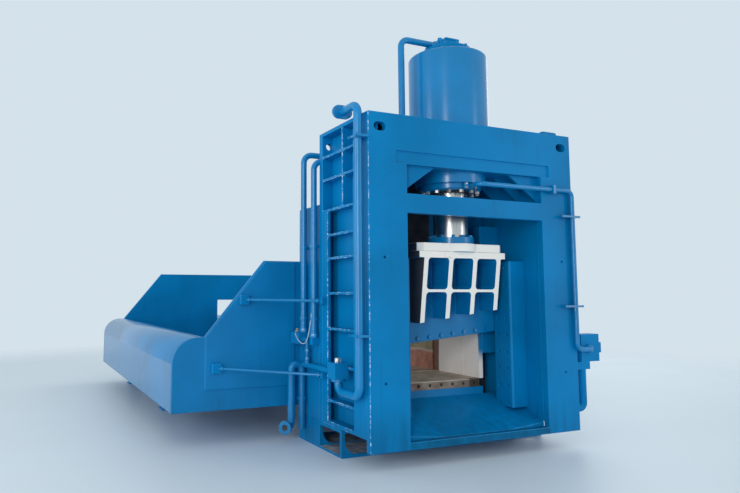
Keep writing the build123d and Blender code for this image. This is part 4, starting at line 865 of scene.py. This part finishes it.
def mount(name):
    """Point and direction of a mount listed in model.json."""
    row = next(row for row in frame["record"]["mounts"] if row["name"] == name)
    return Vector(row["pos_m"]), Vector(row["axis"])


# Directions
LEFT, RIGHT = (-1, 0, 0), (1, 0, 0)
FRONT, REAR = (0, -1, 0), (0, 1, 0)
UP = (0, 0, 1)

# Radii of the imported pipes, and the places along Y of those on the housing, in metres
PREFILL_PIPE, RIGHT_PIPE, REAR_PIPE, CROSS_PIPE, THIN_PIPE = 0.036, 0.027, 0.035, 0.033, 0.022
REAR_PIPE_Y, FRONT_PIPE_Y, THIN_PIPE_Y = 0.300, 0.0155, 0.196
THIN_PIPE_LEVEL = 1.151

# Pipe flanges: thickness, screws from the middle, and the dark disc of painted shade that stands for the open
# bore
RISER_FLANGE, DRAIN_FLANGE = 0.03, 0.028
RISER_SCREW_X, RISER_SCREW_Z = 0.075, 0.04
DRAIN_SCREW_CIRCLE = 0.059
FLANGE_SCREW_HEIGHT = 0.014
BORE_RADIUS, BORE_DEPTH, BORE_RIM, BORE_SINK = 0.034, 0.003, 0.004, 0.0012

# Clamp screws: places on the bars, height and how far a head is let in
RIGHT_BAR_MIDDLE, RIGHT_BAR_LEVELS = 0.0145, (0.011, 1.0127)
LEFT_BAR_MIDDLE, LEFT_BAR_END = 0.012, 0.022
CLAMP_SCREW_HEIGHT, CLAMP_SCREW_LET_IN = 0.012, 0.001

# Port flange on the cylinder nose, from the middle of its front face
PORT_HALF = Vector((0.085, 0.0, 0.034))
PORT_THICK, PORT_LET_IN, PORT_ROUNDING = 0.03, 0.012, 0.006
PORT_SCREW_X, PORT_SCREW_Z = 0.06, 0.018
PORT_SCREW, PORT_SCREW_HEIGHT = 0.024, 0.016
PORT = Vector((RIGHT_PIPE_LOW.x + RIGHT_PIPE, GLAND_LOW.y - PORT_THICK, RIGHT_PIPE_HIGH.z - RIGHT_PIPE))

# Wiper lips: inner radius, thickness and how far they hang out
MAIN_WIPER, MAIN_LIP, MAIN_DROP = 0.1935, 0.012, 0.002
HOLD_DOWN_WIPER, HOLD_DOWN_LIP, HOLD_DOWN_DROP = 0.0565, 0.008, 0.001
HOLD_DOWN_X = 0.43

# Tie rods from the feed box to the left column, and the brackets that hold their nuts
TIE_RODS = (
    (Vector((-2.027, 0.497, 1.6)), Vector((-1.355, -0.17, 1.59))),
    (Vector((-2.345, 0.497, 0.845)), Vector((-1.355, -0.17, 0.795))),
)
TIE_BRACKET, TIE_NUT_HEIGHT = 0.03, 0.028

# Union nuts: lengths, and how far they sit from the ends of blocks and pipes
UNION_LENGTH, REAR_UNION_LENGTH, THIN_UNION_LENGTH = 0.06, 0.07, 0.045
REAR_UNION_SINK, FRONT_UNION_RISE, THIN_UNION_RISE = 0.040, 0.08, 0.09

# Covers: the low one on the gantry and the lid of the prefill valve
COVER_LEFT, COVER_RIGHT, COVER_HEIGHT, COVER_ROUNDING = 1.03, 1.25, 0.065, 0.03
COVER_FRONT, COVER_REAR = PLATE_LOW.y + 0.1, PLATE_LOW.y + 0.2
LID_LEFT, LID_RIGHT, LID_HALF, LID_ROUNDING = -0.06, 0.131, 0.065, 0.008
LID_FOOT, LID_TOP = -0.03, -0.001


class SHEAR_OT_flange_screws(bpy.types.Operator):
    """Screws at the back of the pipe flanges"""

    bl_idname = "shear.flange_screws"
    bl_label = "Flange screws"

    def execute(self, context):
        riser_face, riser_axis = mount("riser_flange")
        drain_face, drain_axis = mount("drain_flange")
        riser_back = riser_face - RISER_FLANGE * riser_axis
        places = [
            at(riser_back + Vector((RISER_SCREW_X * side, 0.0, RISER_SCREW_Z * rise)), FRONT)
            for side in (-1, 1) for rise in (-1, 1)
        ]
        drain_back = drain_face - DRAIN_FLANGE * drain_axis
        places += ring_places(drain_back, -drain_axis, DRAIN_SCREW_CIRCLE, 4, radians(45.0))
        screws = copies(hex_head(context.scene.shear_pieces.flange_screw, FLANGE_SCREW_HEIGHT), places)
        close_piece(screws, "flange_screws", "frame", "gloss_enamel")
        return {"FINISHED"}


class SHEAR_OT_flange_bores(bpy.types.Operator):
    """Dark discs in the faces of the pipe flanges, painted shade that stands for the open bores"""

    bl_idname = "shear.flange_bores"
    bl_label = "Flange bores"

    def execute(self, context):
        bpy.ops.object.select_all(action="DESELECT")
        bpy.ops.mesh.primitive_cylinder_add(
            vertices=32, radius=BORE_RADIUS, depth=BORE_DEPTH, location=(0, 0, 0)
        )
        bore = bpy.context.object
        step_top(bore, (BORE_RIM, -BORE_SINK))
        bores = copies(bore, [at(*mount("drain_flange")), at(*mount("riser_flange"))])
        close_piece(bores, "flange_bores", "frame", "seal_rubber")
        return {"FINISHED"}


class SHEAR_OT_clamp_screws(bpy.types.Operator):
    """Screws on the bars that clamp the pipes to the gantry"""

    bl_idname = "shear.clamp_screws"
    bl_label = "Clamp screws"

    def execute(self, context):
        bar_low, bar_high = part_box("right_pipe_clamps")
        riser_low, riser_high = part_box("left_riser_clamps")
        places = [
            at((bar_high.x - CLAMP_SCREW_LET_IN, bar_low.y + RIGHT_BAR_MIDDLE, bar_low.z + level), RIGHT)
            for level in RIGHT_BAR_LEVELS
        ]
        for bar_z in (riser_low.z + LEFT_BAR_MIDDLE, riser_high.z - LEFT_BAR_MIDDLE):
            for bar_y in (riser_low.y + LEFT_BAR_END, riser_high.y - LEFT_BAR_END):
                places.append(at((riser_low.x + CLAMP_SCREW_LET_IN, bar_y, bar_z), LEFT))
        screws = copies(hex_head(context.scene.shear_pieces.clamp_screw, CLAMP_SCREW_HEIGHT), places)
        close_piece(screws, "clamp_screws", "frame", "gloss_enamel")
        return {"FINISHED"}


class SHEAR_OT_port_flange(bpy.types.Operator):
    """Port flange where the right pipe leaves the cylinder nose"""

    bl_idname = "shear.port_flange"
    bl_label = "Port flange"

    def execute(self, context):
        back = Vector((0.0, PORT_THICK + PORT_LET_IN, 0.0))
        plate = block(PORT - PORT_HALF, PORT + PORT_HALF + back, PORT_ROUNDING)
        close_piece(plate, "port_flange", "frame", "blue_enamel")
        return {"FINISHED"}


class SHEAR_OT_port_screws(bpy.types.Operator):
    """Screws of the port flange"""

    bl_idname = "shear.port_screws"
    bl_label = "Port screws"

    def execute(self, context):
        places = [
            at(PORT + Vector((PORT_SCREW_X * side, 0.0, PORT_SCREW_Z * rise)), FRONT)
            for side in (-1, 1) for rise in (-1, 1)
        ]
        screws = copies(hex_head(PORT_SCREW, PORT_SCREW_HEIGHT), places)
        close_piece(screws, "port_screws", "frame", "screw_steel")
        return {"FINISHED"}


class SHEAR_OT_wipers(bpy.types.Operator):
    """Wiper lips where the rods leave their cylinders"""

    bl_idname = "shear.wipers"
    bl_label = "Rod wipers"

    def execute(self, context):
        barrel_low, barrel_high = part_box("hold_down_cylinders")
        middle = (GLAND_LOW.y + GLAND_HIGH.y) / 2
        lips = [ring((0.0, middle, GLAND_LOW.z - MAIN_DROP), MAIN_WIPER, MAIN_LIP)]
        middle = (barrel_low.y + barrel_high.y) / 2
        for side in (-1, 1):
            centre = (HOLD_DOWN_X * side, middle, barrel_low.z - HOLD_DOWN_DROP)
            lips.append(ring(centre, HOLD_DOWN_WIPER, HOLD_DOWN_LIP))
        close_piece(join(lips), "rod_wipers", "frame", "seal_rubber")
        return {"FINISHED"}


class SHEAR_OT_tie_nuts(bpy.types.Operator):
    """Nuts on the ends of the tie rods"""

    bl_idname = "shear.tie_nuts"
    bl_label = "Tie nuts"

    def execute(self, context):
        places = []
        for wall_end, frame_end in TIE_RODS:
            run = (frame_end - wall_end).normalized()
            places.append(at(wall_end + run * (TIE_BRACKET / abs(run.y)), run))
            places.append(at(frame_end - run * (TIE_BRACKET / abs(run.x)), -run))
        nuts = copies(hex_head(context.scene.shear_pieces.tie_nut, TIE_NUT_HEIGHT), places)
        close_piece(nuts, "tie_nuts", "frame", "gloss_enamel")
        return {"FINISHED"}


class SHEAR_OT_unions(bpy.types.Operator):
    """Union nuts where the pipes meet valves and blocks"""

    bl_idname = "shear.unions"
    bl_label = "Union nuts"

    def execute(self, context):
        margin = context.scene.shear_pieces.union_margin
        low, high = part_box("prefill_pipe")
        middle = (low.y + high.y) / 2
        made = [copies(union_nut(PREFILL_PIPE, margin, UNION_LENGTH), [
            at((high.x, middle, high.z - PREFILL_PIPE), LEFT),
            at((low.x + PREFILL_PIPE, middle, low.z), UP),
        ])]
        valve_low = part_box("right_valve_block")[0]
        made.append(copies(union_nut(RIGHT_PIPE, margin, UNION_LENGTH), [
            at((RIGHT_PIPE_HIGH.x - RIGHT_PIPE, valve_low.y, RIGHT_PIPE_LOW.z + RIGHT_PIPE), FRONT),
        ]))
        rear_low, rear_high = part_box("rear_valve_block")
        stub_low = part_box("rear_manifold")[0]
        cross_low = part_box("cross_pipe")[0]
        x = REAR_PIPES_LOW.x + REAR_PIPE
        made.append(copies(union_nut(REAR_PIPE, margin, REAR_UNION_LENGTH), [
            at((x, REAR_PIPE_Y, rear_high.z - REAR_UNION_SINK), UP),
            at((x, FRONT_PIPE_Y, stub_low.z + FRONT_UNION_RISE), UP),
            at((x, cross_low.y, cross_low.z + CROSS_PIPE), REAR),
        ]))
        made.append(copies(union_nut(THIN_PIPE, 0.7 * margin, THIN_UNION_LENGTH), [
            at((x, THIN_PIPE_Y, REAR_PIPES_LOW.z), UP),
            at((x, THIN_PIPE_Y, REAR_PIPES_LOW.z + THIN_UNION_RISE), UP),
            at((x, rear_low.y, THIN_PIPE_LEVEL), FRONT),
        ]))
        close_piece(join(made), "union_nuts", "frame", "gloss_enamel")
        return {"FINISHED"}


class SHEAR_OT_sensor_cable(bpy.types.Operator):
    """Cable that hangs from the fitting on the rear valve block"""

    bl_idname = "shear.sensor_cable"
    bl_label = "Sensor cable"

    def execute(self, context):
        pieces = context.scene.shear_pieces
        low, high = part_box("rear_valve_block")
        top = high.z - 0.008
        pipe_x = REAR_PIPES_LOW.x
        route = (
            (low.x + 0.0675, 0.428, top), (low.x - 0.015, 0.38, top - 0.02), (low.x, 0.17, top - 0.175),
            (pipe_x - 0.03, 0.0, top - 0.1), (pipe_x + 0.012, FRONT_PIPE_Y, top + 0.26),
        )
        bpy.ops.object.select_all(action="DESELECT")
        bpy.ops.curve.primitive_nurbs_path_add(location=(0, 0, 0))
        cable = bpy.context.object
        line = cable.data.splines[0]
        for point, place in zip(line.points, route):
            point.co = (*place, 1.0)
        line.order_u = 3
        line.use_endpoint_u = True
        cable.data.bevel_depth = pieces.cable / 2
        cable.data.bevel_resolution = 4
        cable.data.resolution_u = 24
        cable.data.use_fill_caps = True
        cable.name = "sensor_cable"
        cable.data.name = "sensor_cable"
        cable.data.materials.append(finish_material("cable_jacket"))
        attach(cable, "frame")
        return {"FINISHED"}


class SHEAR_OT_top_cover(bpy.types.Operator):
    """Low cover on the top of the gantry"""

    bl_idname = "shear.top_cover"
    bl_label = "Top cover"

    def execute(self, context):
        top = PLATE_HIGH.z
        cover = block(
            (COVER_LEFT, COVER_FRONT, top), (COVER_RIGHT, COVER_REAR, top + COVER_HEIGHT), COVER_ROUNDING
        )
        close_piece(cover, "top_cover", "frame", "blue_enamel")
        return {"FINISHED"}


class SHEAR_OT_prefill_lid(bpy.types.Operator):
    """Lid of the prefill valve"""

    bl_idname = "shear.prefill_lid"
    bl_label = "Prefill lid"

    def execute(self, context):
        low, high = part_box("prefill_valve")
        middle = (low.y + high.y) / 2
        foot = (LID_LEFT, middle - LID_HALF, high.z + LID_FOOT)
        top = (LID_RIGHT, middle + LID_HALF, high.z + LID_TOP)
        lid = block(foot, top, LID_ROUNDING)
        close_piece(lid, "prefill_lid", "frame", "blue_enamel")
        return {"FINISHED"}


# Lamps: name, place, what each points at, width and height; the powers are stage settings
LAMPS = (
    ("key", (10.0, -11.0, 3.8), (0.0, 0.0, 2.0), 2.6, 7.0),
    ("fill", (-14.0, -0.5, 3.8), (-1.0, 0.0, 2.0), 2.8, 7.0),
    ("front", (-11.2, -12.1, 3.8), (0.0, -0.6, 2.0), 2.6, 7.0),
    ("back", (8.5, 8.0, 8.0), (0.0, 3.0, 1.2), 9.0, 9.0),
)
SKY_TINT = (0.93, 0.97, 1.0)
FLOOR_RADIUS, FLOOR_MIDDLE, FLOOR_FADE = 60.0, (0.0, 3.0, 0.0), (8.0, 13.5)
SENSOR_WIDTH, VIEW_END = 36.0, 200.0


class SHEAR_OT_stage(bpy.types.Operator):
    """Floor, backdrop, lights and camera"""

    bl_idname = "shear.stage"
    bl_label = "Stage"

    def floor(self, settings):
        bpy.ops.object.select_all(action="DESELECT")
        bpy.ops.mesh.primitive_circle_add(
            vertices=96, radius=FLOOR_RADIUS, fill_type="NGON", location=(0, 0, 0)
        )
        ground = bpy.context.object
        ground.name = "floor"
        cover = Finish("floor_screed")
        mottle = cover.noise(0.5)
        shade = cover.mix(mottle, scaled(settings.floor, 0.96), scaled(settings.floor, 1.04))
        relief = cover.bump(mottle, strength=0.02, distance=0.01)
        screed = cover.node(
            "ShaderNodeBsdfPrincipled",
            sockets={"Base Color": shade, "Roughness": 0.35 + 0.2 * mottle, "Normal": relief},
        )
        ends = {0: cover.place, 1: FLOOR_MIDDLE}
        reach = cover.node("ShaderNodeVectorMath", {"operation": "DISTANCE"}, ends, output="Value")
        clear = cover.node("ShaderNodeBsdfTransparent")
        blend = cover.node("ShaderNodeMixShader", sockets={0: reach.rise(*FLOOR_FADE), 1: screed, 2: clear})
        ground.data.materials.append(cover.close(blend))

    def sky(self, settings):
        world = bpy.data.worlds.new("Studio")
        bpy.context.scene.world = world
        sky = Shading(world)
        seen, mirrored, through = (
            sky.node("ShaderNodeLightPath", output=ray)
            for ray in ("Is Camera Ray", "Is Glossy Ray", "Is Transmission Ray")
        )
        light = sky.node("ShaderNodeBackground", sockets={"Color": SKY_TINT, "Strength": settings.sky})
        backdrop = sky.node("ShaderNodeBackground", sockets={"Color": settings.backdrop})
        pick = sky.node("ShaderNodeMixShader", sockets={0: seen | mirrored | through, 1: light, 2: backdrop})
        sky.node("ShaderNodeOutputWorld", sockets={"Surface": pick})

    def lamp(self, name, place, target, width, height, power):
        bpy.ops.object.light_add(type="AREA", location=place)
        lamp = bpy.context.object
        lamp.name = name
        lamp.data.shape = "RECTANGLE"
        lamp.data.size = width
        lamp.data.size_y = height
        lamp.data.energy = power
        lamp.rotation_euler = (Vector(target) - Vector(place)).to_track_quat("-Z", "Y").to_euler()

    def camera(self, settings):
        turn = (pi / 2 + settings.pitch, 0.0, -settings.yaw)
        bpy.ops.object.camera_add(location=settings.eye, rotation=turn)
        camera = bpy.context.object
        camera.data.sensor_width = SENSOR_WIDTH
        camera.data.lens = settings.lens
        camera.data.shift_x, camera.data.shift_y = settings.shift
        camera.data.clip_end = VIEW_END
        bpy.context.scene.camera = camera

    def execute(self, context):
        settings = context.scene.shear_stage
        self.floor(settings)
        self.sky(settings)
        for name, *setup in LAMPS:
            self.lamp(name, *setup, getattr(settings, f"{name}_power"))
        self.camera(settings)
        context.scene.view_settings.view_transform = "Standard"
        return {"FINISHED"}


class SHEAR_PT_dressing(bpy.types.Panel):
    """Settings and steps of the dressed shear"""

    bl_label = "Scrap shear"
    bl_idname = "SHEAR_PT_dressing"
    bl_space_type = "VIEW_3D"
    bl_region_type = "UI"
    bl_category = "Shear"

    def draw(self, context):
        layout = self.layout
        for name in GROUPS:
            settings = getattr(context.scene, name)
            box = layout.box()
            for key in settings.__annotations__:
                box.prop(settings, key)
        for operator in STEPS:
            layout.operator(operator.bl_idname)


STEPS = (
    SHEAR_OT_finishes,
    SHEAR_OT_flange_screws,
    SHEAR_OT_flange_bores,
    SHEAR_OT_clamp_screws,
    SHEAR_OT_port_flange,
    SHEAR_OT_port_screws,
    SHEAR_OT_wipers,
    SHEAR_OT_tie_nuts,
    SHEAR_OT_unions,
    SHEAR_OT_sensor_cable,
    SHEAR_OT_top_cover,
    SHEAR_OT_prefill_lid,
    SHEAR_OT_stage,
)
GROUPS = {"shear_finish": FinishSettings, "shear_pieces": PieceSettings, "shear_stage": StageSettings}
CLASSES = (*GROUPS.values(), *STEPS, SHEAR_PT_dressing)


def register():
    for cls in CLASSES:
        bpy.utils.register_class(cls)
    for name, group in GROUPS.items():
        setattr(bpy.types.Scene, name, bpy.props.PointerProperty(type=group))


def unregister():
    for name in GROUPS:
        delattr(bpy.types.Scene, name)
    for cls in reversed(CLASSES):
        bpy.utils.unregister_class(cls)


def main():
    register()
    bpy.ops.shear.finishes()
    bpy.ops.shear.flange_screws()
    bpy.ops.shear.flange_bores()
    bpy.ops.shear.clamp_screws()
    bpy.ops.shear.port_flange()
    bpy.ops.shear.port_screws()
    bpy.ops.shear.wipers()
    bpy.ops.shear.tie_nuts()
    bpy.ops.shear.unions()
    bpy.ops.shear.sensor_cable()
    bpy.ops.shear.top_cover()
    bpy.ops.shear.prefill_lid()
    bpy.ops.shear.stage()


if __name__ == "__main__":
    main()
